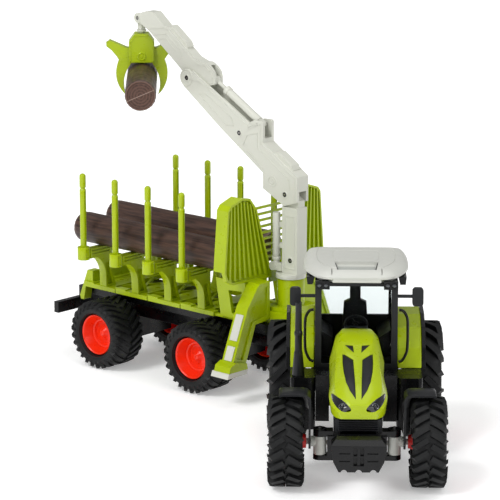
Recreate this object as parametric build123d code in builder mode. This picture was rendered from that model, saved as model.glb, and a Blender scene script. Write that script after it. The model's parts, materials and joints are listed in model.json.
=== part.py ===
"""Toy farm tractor hitched to a log trailer with a loading crane, about 1:24 scale.

Every piece is modelled in the frame it is designed in, and placed at the end:
  tractor frame: +X to the tractor's left, +Y backwards, +Z up, rear axle at y = 0
  trailer frame: +X forwards, +Y to its left, +Z up, midway between its axles
  grapple frame: +X across the claws, +Y along the held log, on the hanger's axis
"""

import os

from build123d import *

os.makedirs("parts", exist_ok=True)

# ---------------------------------------------------------------- driving dimensions, mm
FIT = 0.08  # radial running clearance of every pin and axle

# tractor wheels
FRONT_AXLE_Y = -115.4
FRONT_TYRE_R = 30.75
FRONT_TYRE_IN, FRONT_TYRE_OUT = 36.4, 59.0
FRONT_BEAD_R = 17.5
REAR_TYRE_R = 41.65
REAR_TYRE_IN, REAR_TYRE_OUT = 35.0, 60.6
REAR_BEAD_R = 24.0
REAR_AXLE_R = 3.0
STUB_R = 2.0
KINGPIN_X = 25.0
KINGPIN_R = 1.5
STEER_ARM = 12.0
FENDER_SHIFT = 12.0  # how far the front mudguards sit behind their axle
ROD_EYE_SLOT = 1.5

# tractor cab and bonnet
CAB_HALF_W = 28.5
CAB_FRONT_Y, CAB_REAR_Y = -53.0, 20.0
CAB_FLOOR_Z, CAB_TOP_Z = 62.0, 125.0
PILLAR = 2.5
ROOF_Z, ROOF_H = 125.2, 9.8
FENDER_IN, FENDER_OUT = 28.8, 46.0
TANK_Y, TANK_LEN = -59.0, 24.5

# bonnet: y, then half widths and heights at the sill, the widest line, the shoulder and the top
BONNET_SECTIONS = (
    (-55.5, (15.5, 59.3), (15.5, 76.0), (12.6, 89.6), (8.8, 93.0)),
    (-100.0, (16.9, 59.3), (17.6, 74.5), (14.2, 87.2), (9.4, 90.6)),
    (-140.0, (18.0, 59.3), (19.3, 69.5), (15.4, 77.6), (9.0, 80.6)),
    (-155.0, (15.4, 59.8), (16.6, 66.2), (13.0, 71.8), (7.4, 74.4)),
    (-161.6, (11.2, 60.4), (12.2, 64.4), (9.4, 68.0), (4.8, 69.8)),
)
BONNET_WALL = 1.8

# hitch
HITCH_Y, HITCH_Z = 64.0, 36.0
HITCH_PIN_R = 2.0
HITCH_TO_TRAILER = 166.8
TRAILER_HEADING = -40.88

# trailer
BOGIE_HALF = 50.9
TRAILER_TYRE_R = 27.1
TRAILER_TYRE_IN, TRAILER_TYRE_OUT = 26.5, 56.0
TRAILER_BEAD_R = 16.0
TRAILER_AXLE_R = 2.5
DECK_Z, DECK_T, DECK_HALF_W = 56.8, 3.4, 32.0
STAKE_X = (-65.0, -29.6, 5.9, 41.4)
STAKE_Y = 52.0
STAKE_R = 2.5
STAKE_TOP = 154.0
SOCKET_Z, SOCKET_H, SOCKET_R = 85.5, 10.0, 4.8
ARM_TOP_Z = 93.4
LOG_R = 12.1
LOG_LENGTH = 170.0
HEADBOARD_X = 85.8

# outriggers: station along the trailer, half width, and the outline (y, z) of one leg
LEG_X, LEG_HALF = 94.4, 5.8
LEG_OUTER = ((18.1, 89.4), (29.4, 88.8), (32, 86.6), (37, 79.8), (42.6, 72.6), (59, 33))
LEG_INNER = ((45, 30), (34, 58.6), (18.1, 60))

# crane, in the trailer frame (x, z)
SLEW_X = 105.0
COLUMN_X, COLUMN_HALF_L, COLUMN_HALF_W = 108.4, 7.5, 5.5
COLLAR_R, COLLAR_Z = 11.4, 90.2
COLUMN_TOP = 144.6
BOOM_PIVOT = (104.0, 154.0)
ELBOW = (3.6, 231.0)
BARREL_PIVOT = (76.0, 203.5)
ROD_END = (29.0, 231.5)
JIB_TIP = (-50.6, 271.7)
BOOM_HALF_W = 6.2
JIB_HALF_W = 4.3
CHANNEL_HALF_W = 4.6
ROOT_PIN_R, ELBOW_PIN_R, ROD_PIN_R, TIP_PIN_R = 1.8, 1.6, 1.1, 1.3
ROD_PLAY = 1.0  # the rod's eye is the pivot left open, so its hole is this much larger

# grapple, in the grapple frame
GRAPPLE_TURN = 43.9
CLAW_PIVOT_X, CLAW_PIVOT_Z = 6.0, 243.0
CLAW_HALF_W = 5.0
HELD_LOG_Z = 224.4
SPIGOT_R = 2.4

pieces = {}


def keep(piece, name, place):
    """Label a finished piece and remember where its frame stands."""
    piece.part.label = name
    pieces[name] = (piece.part, place)


def side_polygon(points, mode=Mode.ADD):
    """A closed face from a list of points, in the sketch that is open."""
    Polygon(*points, align=None, mode=mode)


def bar(low, high, mode=Mode.ADD):
    """A box between two corners."""
    size = [high[i] - low[i] for i in range(3)]
    middle = [(high[i] + low[i]) / 2 for i in range(3)]
    with Locations(tuple(middle)):
        Box(*size, mode=mode)


def cross_pin(x, z, radius, half_length, mode=Mode.ADD):
    """A round pin across the crane, along Y."""
    with Locations((x, 0, z)):
        Cylinder(radius, 2 * half_length, rotation=(90, 0, 0), mode=mode)


# ---------------------------------------------------------------- wheels
def make_tyre(x_in, x_out, y, z, r_out, r_bead):
    """A tyre about an axle along X, with rounded shoulders."""
    half, mid = (x_out - x_in) / 2, (x_out + x_in) / 2
    wall = (r_out - r_bead) * 0.4
    with BuildPart() as tyre:
        with BuildSketch(Plane((mid, y, z), x_dir=(1, 0, 0), z_dir=(0, -1, 0))):
            side_polygon([
                (-0.8 * half, r_bead), (-half, r_bead + wall), (-half, 0.93 * r_out),
                (-0.86 * half, r_out), (0.86 * half, r_out), (half, 0.93 * r_out),
                (half, r_bead + wall), (0.8 * half, r_bead),
            ])
        revolve(axis=Axis((mid, y, z), (1, 0, 0)))
    return tyre


def make_rim(x_in, x_out, y, z, r_bead, r_bore):
    """A dished rim: barrel, disc and hub about a bore."""
    width, mid = x_out - x_in, (x_out + x_in) / 2
    outward = 1 if mid > 0 else -1
    along = (0, 90, 0)
    with BuildPart() as rim:
        with Locations((mid, y, z)):
            Cylinder(r_bead, 0.8 * width, rotation=along)
            Cylinder(r_bead - 1.6, width, rotation=along, mode=Mode.SUBTRACT)
            Cylinder(r_bore + 2.6, 0.74 * width, rotation=along)
        with Locations((mid + outward * 0.12 * width, y, z)):
            Cylinder(r_bead - 1.0, 2.4, rotation=along)
        with Locations((mid, y, z)):
            Cylinder(r_bore, 2 * width, rotation=along, mode=Mode.SUBTRACT)
    return rim


def make_axle(y, z, radius, half_length):
    with BuildPart() as axle:
        with Locations((0, y, z)):
            Cylinder(radius, 2 * half_length, rotation=(0, 90, 0))
    return axle


def rims_on_axle(x_in, x_out, y, z, r_bead, r_axle):
    """A pair of rims moulded on to the axle that joins them."""
    with BuildPart() as wheelset:
        add(both_sides(make_rim, x_in, x_out, y, z, r_bead, r_axle).part)
        add(make_axle(y, z, r_axle, (x_in + x_out) / 2 + 8).part)
    return wheelset


def both_sides(make, x_in, x_out, *rest):
    """The same wheel piece on both ends of one axle, as one node of two solids."""
    with BuildPart() as pair:
        add(make(x_in, x_out, *rest).part)
        mirror(about=Plane.YZ)
    return pair


# ---------------------------------------------------------------- tractor: running gear
def make_chassis():
    with BuildPart() as chassis:
        bar((-11, FRONT_AXLE_Y - 34.6, 44), (11, 50, 52))
        bar((-9, -106, 32), (9, 46, 44))
        bar((-24, -52, 44), (24, 22, CAB_FLOOR_Z - 2))
        bar((-28, TANK_Y - 5, 40), (28, TANK_Y + 5, 50))
        bar((-16, -146, 45), (16, -54, 52))  # engine block under the bonnet
        for side in (-1, 1):
            low, high = sorted((side * 18.6, side * 28))
            bar((low, -71, 31), (high, -55, 64))
        bar((-7, -98, 28), (7, -60, 32.5))
        bar((-6, 44, 29), (6, 50, 43))
        with Locations((0, 0, REAR_TYRE_R)):
            Cylinder(9.5, 62, rotation=(0, 90, 0))
            Cylinder(REAR_AXLE_R + FIT, 70, rotation=(0, 90, 0), mode=Mode.SUBTRACT)
        # saddle over the front axle beam
        bar((-9, FRONT_AXLE_Y - 6, 40.4), (9, FRONT_AXLE_Y + 6, 44.5))
        # inner walls that carry the rear mudguards
        for side in (-1, 1):
            low, high = sorted((side * FENDER_IN, side * (FENDER_IN + 1.6)))
            with BuildSketch(Plane.YZ.offset(low)):
                side_polygon(fender_outline(-2.5))
                with Locations((0, REAR_TYRE_R)):
                    Circle(20, mode=Mode.SUBTRACT)
            extrude(amount=high - low)
            bar((low, -40, 60.1), (high, 16, 63))
            low, high = sorted((side * 20, side * (FENDER_IN + 1)))
            bar((low, -40, 60.1), (high, 16, 61.6))
        bar((-24, -40, 58), (24, 16, 61.6))
    return chassis


def make_axle_beam():
    """Front beam with a fork at each end that holds the kingpin."""
    with BuildPart() as beam:
        bar((-20, FRONT_AXLE_Y - 6, 26), (20, FRONT_AXLE_Y + 6, 36))
        bar((-8, FRONT_AXLE_Y - 5, 36), (8, FRONT_AXLE_Y + 5, 40.4))
        for side in (-1, 1):
            x = side * KINGPIN_X
            low, high = sorted((side * 16, x))
            bar((low, FRONT_AXLE_Y - 4.5, 35.2), (high, FRONT_AXLE_Y + 4.5, 39))
            bar((low, FRONT_AXLE_Y - 4.5, 18.6), (high, FRONT_AXLE_Y + 4.5, 21.8))
            bar((side * 18 - 2, FRONT_AXLE_Y - 4.5, 19), (side * 18 + 2, FRONT_AXLE_Y + 4.5, 38))
            with Locations((x, FRONT_AXLE_Y, 0)):
                with Locations((0, 0, 37.6)):
                    Cylinder(4.5, 4.8)
                with Locations((0, 0, 20.2)):
                    Cylinder(4.5, 3.2)
                with Locations((0, 0, 28)):
                    Cylinder(KINGPIN_R, 16)
            with Locations((x, FRONT_AXLE_Y, 39.6)):
                Sphere(3.6, arc_size1=0)
    return beam


def make_knuckle(side):
    """Steering knuckle: a sleeve on the kingpin, a stub axle and a steering arm."""
    x = side * KINGPIN_X
    pin_y = FRONT_AXLE_Y + STEER_ARM
    with BuildPart() as knuckle:
        with Locations((x, FRONT_AXLE_Y, 28.5)):
            Cylinder(4.4, 12.6)
        with Locations((x + side * 3.5, FRONT_AXLE_Y, FRONT_TYRE_R)):
            Cylinder(3.6, 5, rotation=(0, 90, 0))
        with Locations((side * 40, FRONT_AXLE_Y, FRONT_TYRE_R)):
            Cylinder(STUB_R, 24, rotation=(0, 90, 0))
        low, high = sorted((x - side * 2.2, x + side * 2.2))
        bar((low, FRONT_AXLE_Y + 2, 22.4), (high, pin_y, 24.6))
        with Locations((x, pin_y, 23.5)):
            Cylinder(2.2, 2.2)
        with Locations((x, pin_y, 26)):
            Cylinder(1.0, 5)
        with Locations((x, FRONT_AXLE_Y, 28.5)):
            Cylinder(KINGPIN_R + FIT, 20, mode=Mode.SUBTRACT)
    return knuckle


def make_tie_rod():
    """Bar between the steering arms; its eyes are slots, because the arms swing."""
    pin_y = FRONT_AXLE_Y + STEER_ARM
    with BuildPart() as rod:
        bar((-KINGPIN_X, pin_y - 1.6, 24.9), (KINGPIN_X, pin_y + 1.6, 27.3))
        for side in (-1, 1):
            with Locations((side * KINGPIN_X, pin_y, 26.1)):
                Box(5.2, 7.6, 2.4)
                Box(2.4, 2.4 + 2 * ROD_EYE_SLOT, 6, mode=Mode.SUBTRACT)
    return rod


def make_front_fender(side):
    """Mudguard over the front tyre, carried on an inner leg from the knuckle."""
    with BuildPart() as fender:
        leg_in, leg_out = side * 31.0, side * 33.0
        low, high = sorted((leg_in, leg_out))
        bar((low, FRONT_AXLE_Y - 5, 26), (high, FRONT_AXLE_Y + 5, 66))
        low, high = sorted((leg_in, side * 51.7))
        with BuildSketch(Plane.YZ.offset(low)):
            with Locations((FRONT_AXLE_Y, FRONT_TYRE_R)):
                Circle(36.0)
                Circle(34.0, mode=Mode.SUBTRACT)
                with Locations((FENDER_SHIFT, 0)):
                    Rectangle(42, 80, align=(Align.CENTER, Align.MIN), mode=Mode.INTERSECT)
        extrude(amount=high - low)
        with Locations((side * 32, FRONT_AXLE_Y, FRONT_TYRE_R)):
            Cylinder(STUB_R + 0.4, 8, rotation=(0, 90, 0), mode=Mode.SUBTRACT)
    return fender


# ---------------------------------------------------------------- tractor: body
def bonnet_arch(y, corners, inset):
    """One faceted arch of the bonnet, as a sketch across it."""
    near = [(x - inset, z - inset) for x, z in corners]
    with BuildSketch(Plane((0, y, 0), x_dir=(1, 0, 0), z_dir=(0, -1, 0))) as arch:
        side_polygon(near + [(-x, z) for x, z in reversed(near)])
    return arch.sketch


def bonnet_solid(inset):
    """Bonnet as a loft of faceted arches from the windscreen to the nose."""
    with BuildPart() as body:
        loft([bonnet_arch(y, corners, inset) for y, *corners in BONNET_SECTIONS])
    return body


def lamp_prism():
    """Slanted almond outline of both headlights, cut through the nose."""
    with BuildPart() as prism:
        with BuildSketch(Plane((0, -172, 0), x_dir=(1, 0, 0), z_dir=(0, -1, 0))):
            for side in (-1, 1):
                with Locations(Location((side * 11.4, 69.0), side * 25)):
                    Ellipse(7.0, 2.9)
        extrude(amount=-36)
    return prism


def slot_prism():
    """Two long curved grille slots in the bonnet's top, and two slanted vents behind them."""
    with BuildPart() as prism:
        with BuildSketch(Plane.XY.offset(66)):
            for side in (-1, 1):
                slot = [(3.0, -114), (10.2, -105), (10.2, -118), (9.6, -130), (8.2, -142), (5.6, -151),
                        (1.8, -158), (2.2, -140), (2.7, -125)]
                vent = [(8.8, -93.5), (3.0, -94.5), (2.4, -105)]
                side_polygon([(side * x, y) for x, y in slot])
                side_polygon([(side * x, y) for x, y in vent])
        extrude(amount=30)
    return prism


def make_bonnet():
    with BuildPart() as bonnet:
        add(bonnet_solid(0).part)
        add(bonnet_solid(BONNET_WALL).part, mode=Mode.SUBTRACT)
        nose_y, *nose = BONNET_SECTIONS[-1]
        extrude(bonnet_arch(nose_y, nose, 0), amount=-BONNET_WALL)
        add(lamp_prism().part, mode=Mode.SUBTRACT)
        add(slot_prism().part, mode=Mode.SUBTRACT)
        bar((-30, -156.5, 50), (30, -50, 59.9), mode=Mode.SUBTRACT)
    return bonnet


def make_bonnet_grilles():
    with BuildPart() as grilles:
        add(bonnet_solid(0.3).part)
        add(bonnet_solid(BONNET_WALL).part, mode=Mode.SUBTRACT)
        add(slot_prism().part, mode=Mode.INTERSECT)
        bar((-16, -150, 52.2), (16, -56, 59.0))
        bar((-15, -157, 50.5), (15, -150, 59.0))
        for i in range(5):
            bar((-13, -158.6, 51.5 + 1.5 * i), (13, -156.5, 52.2 + 1.5 * i))
    return grilles


def make_headlights():
    with BuildPart() as lamps:
        add(bonnet_solid(0).part)
        add(bonnet_solid(BONNET_WALL).part, mode=Mode.SUBTRACT)
        add(lamp_prism().part, mode=Mode.INTERSECT)
    return lamps


def make_front_weight():
    """Carrier arms and the hanging weight block in front of the nose."""
    face_y, back_y = -180, -166
    with BuildPart() as weight:
        bar((-12, -168, 38), (12, -150, 48))
        with BuildSketch(Plane((0, back_y, 0), x_dir=(1, 0, 0), z_dir=(0, -1, 0))):
            side_polygon([(-13, 30), (13, 30), (16.6, 37), (17.8, 48), (14, 51.6), (-14, 51.6),
                          (-17.8, 48), (-16.6, 37)])
            for x in (-9.5, 0, 9.5):
                with Locations((x, 29.6)):
                    Circle(2.1, mode=Mode.SUBTRACT)
        extrude(amount=back_y - face_y)
        with BuildSketch(Plane.YZ.offset(-20)):
            side_polygon([(face_y - 1, 47), (face_y - 1, 53), (back_y + 1, 53), (face_y + 5, 50.4)])
        extrude(amount=40, mode=Mode.SUBTRACT)
        # middle pocket with a bar in it, and a groove on each side
        bar((-3.4, face_y - 1, 34.5), (3.4, face_y + 2.4, 46.6), mode=Mode.SUBTRACT)
        bar((-1.0, face_y + 0.6, 34.5), (1.0, face_y + 3, 46.6))
        bar((-3.4, face_y + 0.6, 39.6), (3.4, face_y + 3, 41.0))
        for side in (-1, 1):
            low, high = sorted((side * 5.6, side * 12.6))
            for z in (37.2, 42.4):
                bar((low, face_y - 1, z), (high, face_y + 0.8, z + 0.9), mode=Mode.SUBTRACT)
    return weight


def make_cab_frame():
    """Pillars and rails of the cab, open at the bottom and at every window."""
    half = CAB_HALF_W
    with BuildPart() as cab:
        bar((-half, CAB_FRONT_Y, CAB_FLOOR_Z), (half, CAB_REAR_Y, CAB_TOP_Z))
        bar((-half + PILLAR, CAB_FRONT_Y + PILLAR, CAB_FLOOR_Z - 1),
            (half - PILLAR, CAB_REAR_Y - PILLAR, CAB_TOP_Z - PILLAR), mode=Mode.SUBTRACT)
        # windscreen, rear window
        bar((-half + 4.4, CAB_FRONT_Y - 1, CAB_FLOOR_Z + 5), (half - 4.4, CAB_FRONT_Y + 5, CAB_TOP_Z - 2.7),
            mode=Mode.SUBTRACT)
        bar((-half + 4.4, CAB_REAR_Y - 5, CAB_FLOOR_Z + 22), (half - 4.4, CAB_REAR_Y + 1, CAB_TOP_Z - 5),
            mode=Mode.SUBTRACT)
        # door and side window on each side, with a pillar between
        for y_low, y_high, sill in ((CAB_FRONT_Y + 3.5, -19.5, 5), (-16, CAB_REAR_Y - 3.5, 40)):
            bar((-half - 1, y_low, CAB_FLOOR_Z + sill), (half + 1, y_high, CAB_TOP_Z - 4),
                mode=Mode.SUBTRACT)
    return cab


def make_cab_windows():
    """Clear panes that stand just inside the frame."""
    inner, pane = CAB_HALF_W - PILLAR, 0.8
    with BuildPart() as panes:
        bar((-inner + 1.5, CAB_FRONT_Y + PILLAR, CAB_FLOOR_Z + 4),
            (inner - 1.5, CAB_FRONT_Y + PILLAR + pane, CAB_TOP_Z - PILLAR))
        bar((-inner + 1.5, CAB_REAR_Y - PILLAR - pane, CAB_FLOOR_Z + 21),
            (inner - 1.5, CAB_REAR_Y - PILLAR, CAB_TOP_Z - 4))
        for side in (-1, 1):
            low, high = sorted((side * inner, side * (inner - pane)))
            for y_low, y_high, sill in ((CAB_FRONT_Y + 4, -19, 4), (-17, CAB_REAR_Y - 4, 39)):
                bar((low, y_low, CAB_FLOOR_Z + sill), (high, y_high, CAB_TOP_Z - 3.5))
    return panes


def make_cab_interior():
    """Floor tub with sloping side consoles."""
    inner = CAB_HALF_W - PILLAR - 1.2
    with BuildPart() as tub:
        bar((-inner, CAB_FRONT_Y + 4, CAB_FLOOR_Z - 0.4), (inner, CAB_REAR_Y - 4, CAB_FLOOR_Z + 1))
        for side in (-1, 1):
            with BuildSketch(Plane((0, CAB_REAR_Y - 4, 0), x_dir=(1, 0, 0), z_dir=(0, -1, 0))):
                side_polygon([(side * inner, CAB_FLOOR_Z + 0.5), (side * 12, CAB_FLOOR_Z + 0.5),
                              (side * 16, CAB_FLOOR_Z + 14), (side * inner, CAB_FLOOR_Z + 20)])
            extrude(amount=34)
    return tub


def make_seat():
    floor = CAB_FLOOR_Z + 1
    with BuildPart() as seat:
        bar((-6, -14, floor), (6, 2, floor + 7))
        bar((-9.5, -18, floor + 7), (9.5, 3, floor + 13))
        with BuildSketch(Plane((0, 7, 0), x_dir=(1, 0, 0), z_dir=(0, -1, 0))):
            side_polygon([(-9.5, floor + 10), (9.5, floor + 10), (8, 97), (3.8, 99), (3.8, 109),
                          (-3.8, 109), (-3.8, 99), (-8, 97)])
        extrude(amount=5)
    return seat


def make_dashboard():
    with BuildPart() as dash:
        with BuildSketch(Plane((0, CAB_FRONT_Y + 4, 0), x_dir=(1, 0, 0), z_dir=(0, -1, 0))):
            side_polygon([(-5, CAB_FLOOR_Z + 1), (5, CAB_FLOOR_Z + 1), (9, 84), (8, 91), (-8, 91), (-9, 84)])
        extrude(amount=-9)
        with Locations(Location((0, -37, 87), (-62, 0, 0))):
            Cylinder(1.4, 12)
    return dash


def make_steering_wheel():
    with BuildPart() as wheel:
        with Locations(Location((0, -31.7, 89.8), (-62, 0, 0))):
            Torus(7.6, 1.0)
            Cylinder(2.4, 1.6)
            for turn in (0, 120, 240):
                with Locations(Location((0, 0, 0), (0, 0, turn))):
                    with Locations((4.2, 0, 0)):
                        Box(7.2, 1.6, 1.0)
            Cylinder(1.5, 8, mode=Mode.SUBTRACT)
    return wheel


def make_roof():
    """Domed cab roof: a wide middle, a narrow visor and a recessed skylight."""
    outline = [(17.8, -56.5), (27, -52), (35, -34), (36.6, -22), (36.6, -8), (33.5, 16), (29, 25)]
    with BuildPart() as roof:
        with BuildSketch(Plane.XY.offset(ROOF_Z)):
            side_polygon(outline + [(-x, y) for x, y in reversed(outline)])
        extrude(amount=ROOF_H, taper=24)
        with BuildSketch(Plane.XY.offset(ROOF_Z + ROOF_H - 1.6)):
            side_polygon([(-12.5, -47), (12.5, -47), (15, -29), (-15, -29)])
        extrude(amount=4, mode=Mode.SUBTRACT)
    return roof


def make_roof_lights():
    with BuildPart() as pods:
        for side in (-1, 1):
            low, high = sorted((side * 19, side * 28))
            bar((low, -57, 120.8), (high, CAB_FRONT_Y - 0.2, 125.0))
            low, high = sorted((side * (CAB_HALF_W + 0.2), side * 34.6))
            bar((low, -38, 120), (high, -24, 125.0))
            for x in (21.4, 25.6):
                with Locations((side * x, -57.2, 122.9)):
                    Cylinder(1.6, 1.2, rotation=(90, 0, 0))
    return pods


def make_mirrors():
    with BuildPart() as mirrors:
        for side in (-1, 1):
            low, high = sorted((side * (CAB_HALF_W + 0.1), side * 40))
            bar((low, -50.8, 113.8), (high, -48.8, 115.8))
            with BuildSketch(Plane((side * 42.2, -48, 114.5), x_dir=(1, 0, 0), z_dir=(0, -1, 0))):
                RectangleRounded(7.7, 13, 2.4)
            extrude(amount=4)
    return mirrors


def make_handrails():
    """Bent tube loops beside the windscreen."""
    with BuildPart() as rails:
        for side in (-1, 1):
            near = side * (CAB_HALF_W + 0.75)
            with BuildLine() as route:
                FilletPolyline((near, -51, 105), (side * 35, -51, 101), (side * 35, -51, 75),
                               (near, -51, 68), radius=4)
            with BuildSketch(Plane(route.line @ 0, z_dir=route.line % 0)):
                Circle(1.15)
            sweep(path=route.line)
    return rails


def make_exhaust():
    """Upright exhaust pipe with a flared heat shield, on the tractor's right tank."""
    base, x, y = 62.0, -39.9, -65.0
    with BuildPart() as pipe:
        with BuildSketch(Plane((x, y, 0), x_dir=(1, 0, 0), z_dir=(0, -1, 0))):
            side_polygon([(0, base), (4.4, base), (3.0, base + 16), (2.5, base + 18), (2.5, base + 28),
                          (2.9, base + 29), (2.9, base + 31), (2.4, base + 32), (2.1, base + 52),
                          (0, base + 52)])
        revolve(axis=Axis((x, y, 0), (0, 0, 1)))
    return pipe


def fender_outline(grow):
    """Rear mudguard profile (y, z), moved outwards by `grow`."""
    return [(-46 - grow, 62.2), (-40 - grow, 75 + grow / 2), (-28 - grow / 2, 86.6 + grow), (-9, 91.6 + grow),
            (12, 91.6 + grow), (28 + grow / 2, 85.6 + grow), (40.5 + grow, 73 + grow / 2), (44 + grow, 62)]


def make_rear_fenders():
    with BuildPart() as fenders:
        for side in (-1, 1):
            arch = fender_outline(0) + [(y, z) for y, z in reversed(fender_outline(-2.4))]
            low, high = sorted((side * FENDER_IN, side * FENDER_OUT))
            with BuildSketch(Plane.YZ.offset(low)):
                side_polygon(arch)
            extrude(amount=high - low)
    return fenders


def make_fender_trims():
    with BuildPart() as trims:
        for side in (-1, 1):
            lip = fender_outline(0.6) + [(y, z) for y, z in reversed(fender_outline(-3.0))]
            low, high = sorted((side * FENDER_OUT, side * (FENDER_OUT + 2.6)))
            with BuildSketch(Plane.YZ.offset(low)):
                side_polygon(lip)
            extrude(amount=high - low)
    return trims


def make_fuel_tanks():
    with BuildPart() as tanks:
        for side in (-1, 1):
            with BuildSketch(Plane.XY.offset(25)):
                with Locations((side * 36.8, TANK_Y)):
                    RectangleRounded(17.4, TANK_LEN, 3)
            extrude(amount=37)
    return tanks


def make_tow_hitch():
    """Clevis and drop pin for the trailer's drawbar."""
    with BuildPart() as hitch:
        for z in (HITCH_Z - 4.4, HITCH_Z + 2.4):
            bar((-5.5, 50, z), (5.5, HITCH_Y, z + 2))
            with Locations((0, HITCH_Y, z + 1)):
                Cylinder(5.5, 2)
        bar((-5.5, 50, HITCH_Z - 4.4), (5.5, 53, HITCH_Z + 4.4))
        with Locations((0, HITCH_Y, HITCH_Z)):
            Cylinder(HITCH_PIN_R, 12)
        with Locations((0, HITCH_Y, HITCH_Z + 6.6)):
            Cylinder(3.4, 1.4)
    return hitch


# ---------------------------------------------------------------- trailer
def make_trailer_frame():
    """Black backbone with an axle housing under each wheelset."""
    with BuildPart() as frame:
        bar((-112, -13, 36), (116, 13, 50))
        bar((-85.5, -24, 49), (112, 24, DECK_Z))
        bar((-116, -37, 31), (-111, 37, 40))
        for side in (-1, 1):
            low, high = sorted((side * 20, side * 28))
            bar((-117.2, low, 33), (-115.5, high, 38))
        for x in (-BOGIE_HALF, BOGIE_HALF):
            with Locations((x, 0, TRAILER_TYRE_R + 2)):
                Box(16, 46, 20)
            with Locations((x, 0, TRAILER_TYRE_R)):
                Cylinder(TRAILER_AXLE_R + FIT, 60, rotation=(90, 0, 0), mode=Mode.SUBTRACT)
    return frame


def make_drawbar():
    """Towing bar with the eye that drops over the tractor's pin."""
    with BuildPart() as drawbar:
        bar((112, -7, 31), (121, 7, 36))
        bar((116, -7, 34), (121, 7, 50))
        bar((116, -4, HITCH_Z - 2), (HITCH_TO_TRAILER - 3, 4, HITCH_Z + 2))
        with Locations((HITCH_TO_TRAILER, 0, HITCH_Z)):
            Cylinder(5, 4)
            Cylinder(HITCH_PIN_R + FIT, 8, mode=Mode.SUBTRACT)
    return drawbar


def make_load_deck():
    """Green deck with stepped edge blocks, crossed ribs over open bays, and a sloping tail."""
    bay, bay_half = 20.0, 26.0
    with BuildPart() as deck:
        bar((-80, -DECK_HALF_W + 2, DECK_Z), (84, DECK_HALF_W - 2, DECK_Z + 2))
        for x in STAKE_X:
            bar((x - 21, -DECK_HALF_W, DECK_Z), (x - 10, DECK_HALF_W, DECK_Z + DECK_T + 1))
            bar((x - 10, -DECK_HALF_W, DECK_Z), (x + 13.6, DECK_HALF_W, DECK_Z + DECK_T))
        for x in STAKE_X:
            middle = x + 17.7
            bar((middle - bay / 2, -bay_half, DECK_Z - 1), (middle + bay / 2, bay_half, DECK_Z + 6),
                mode=Mode.SUBTRACT)
            for turn in (-58, 58):
                with Locations(Location((middle, 0, DECK_Z + 1.2), (0, 0, turn))):
                    Box(60, 2.2, 2.4)
        bar((-80, -DECK_HALF_W, DECK_Z - 2), (84, -DECK_HALF_W + 4, DECK_Z), mode=Mode.SUBTRACT)
        bar((-80, DECK_HALF_W - 4, DECK_Z - 2), (84, DECK_HALF_W, DECK_Z), mode=Mode.SUBTRACT)
        with BuildSketch(Plane((0, 30, 0), x_dir=(1, 0, 0), z_dir=(0, -1, 0))):
            side_polygon([(-78, 57), (-78, 70), (-84, 70), (-93, 48), (-92, 45), (-88.5, 45), (-86, 57)])
        extrude(amount=8)
        mirror(about=Plane.XZ)
        bar((-84, -30, 57), (-80, 30, 68))
    return deck


def bolster_half():
    """One arm: a grooved band that leaves the stake socket and bends down to a flared foot."""
    foot, under = DECK_Z + DECK_T, ARM_TOP_Z - 7.6
    with BuildPart() as arm:
        with BuildSketch(Plane.YZ.offset(-3.6)):
            with BuildLine():
                Polyline((47.8, under), (41, under))
                ThreePointArc((41, under), (34.4, 79.4), (31.4, 68))
                Polyline((31.4, 68), (31.2, foot), (20.5, foot))
                ThreePointArc((20.5, foot), (23.6, 70), (24.4, 82))
                Line((24.4, 82), (24.4, ARM_TOP_Z - 4.6))
                Polyline((24.4, ARM_TOP_Z - 4.6), (0, ARM_TOP_Z - 4.6), (0, ARM_TOP_Z), (47.8, ARM_TOP_Z),
                         (47.8, under))
            make_face()
        extrude(amount=7.2)
        for z in (ARM_TOP_Z - 4.6, ARM_TOP_Z - 2.2):
            for x in (-3.6, 3.6):
                bar((x - 0.9, 27, z), (x + 0.9, 46.5, z + 1.2), mode=Mode.SUBTRACT)
        # the leg is a thin web between its rims
        with BuildSketch(Plane.YZ.offset(-4)):
            side_polygon([(29.4, foot + 1.6), (23.6, foot + 1.6), (26.4, 72), (26.6, 80), (31.6, 80)])
        extrude(amount=2.8, mode=Mode.SUBTRACT)
        with BuildSketch(Plane.YZ.offset(1.2)):
            side_polygon([(29.4, foot + 1.6), (23.6, foot + 1.6), (26.4, 72), (26.6, 80), (31.6, 80)])
        extrude(amount=2.8, mode=Mode.SUBTRACT)
    return arm


def make_bolsters():
    """Four cross arches, each with a stake socket at both ends."""
    with BuildPart() as one:
        add(bolster_half().part)
        with Locations((0, STAKE_Y, SOCKET_Z + SOCKET_H / 2)):
            Cylinder(SOCKET_R, SOCKET_H)
            Cylinder(STAKE_R, SOCKET_H - 3, align=(Align.CENTER, Align.CENTER, Align.MIN),
                     mode=Mode.SUBTRACT)
        bar((SOCKET_R - 0.9, STAKE_Y - 1.7, SOCKET_Z + 1.4), (SOCKET_R + 1, STAKE_Y + 1.7, SOCKET_Z + 8.4),
            mode=Mode.SUBTRACT)
        mirror(about=Plane.XZ)
    with BuildPart() as bolsters:
        with Locations(*[(x, 0, 0) for x in STAKE_X]):
            add(one.part)
    return bolsters


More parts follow.
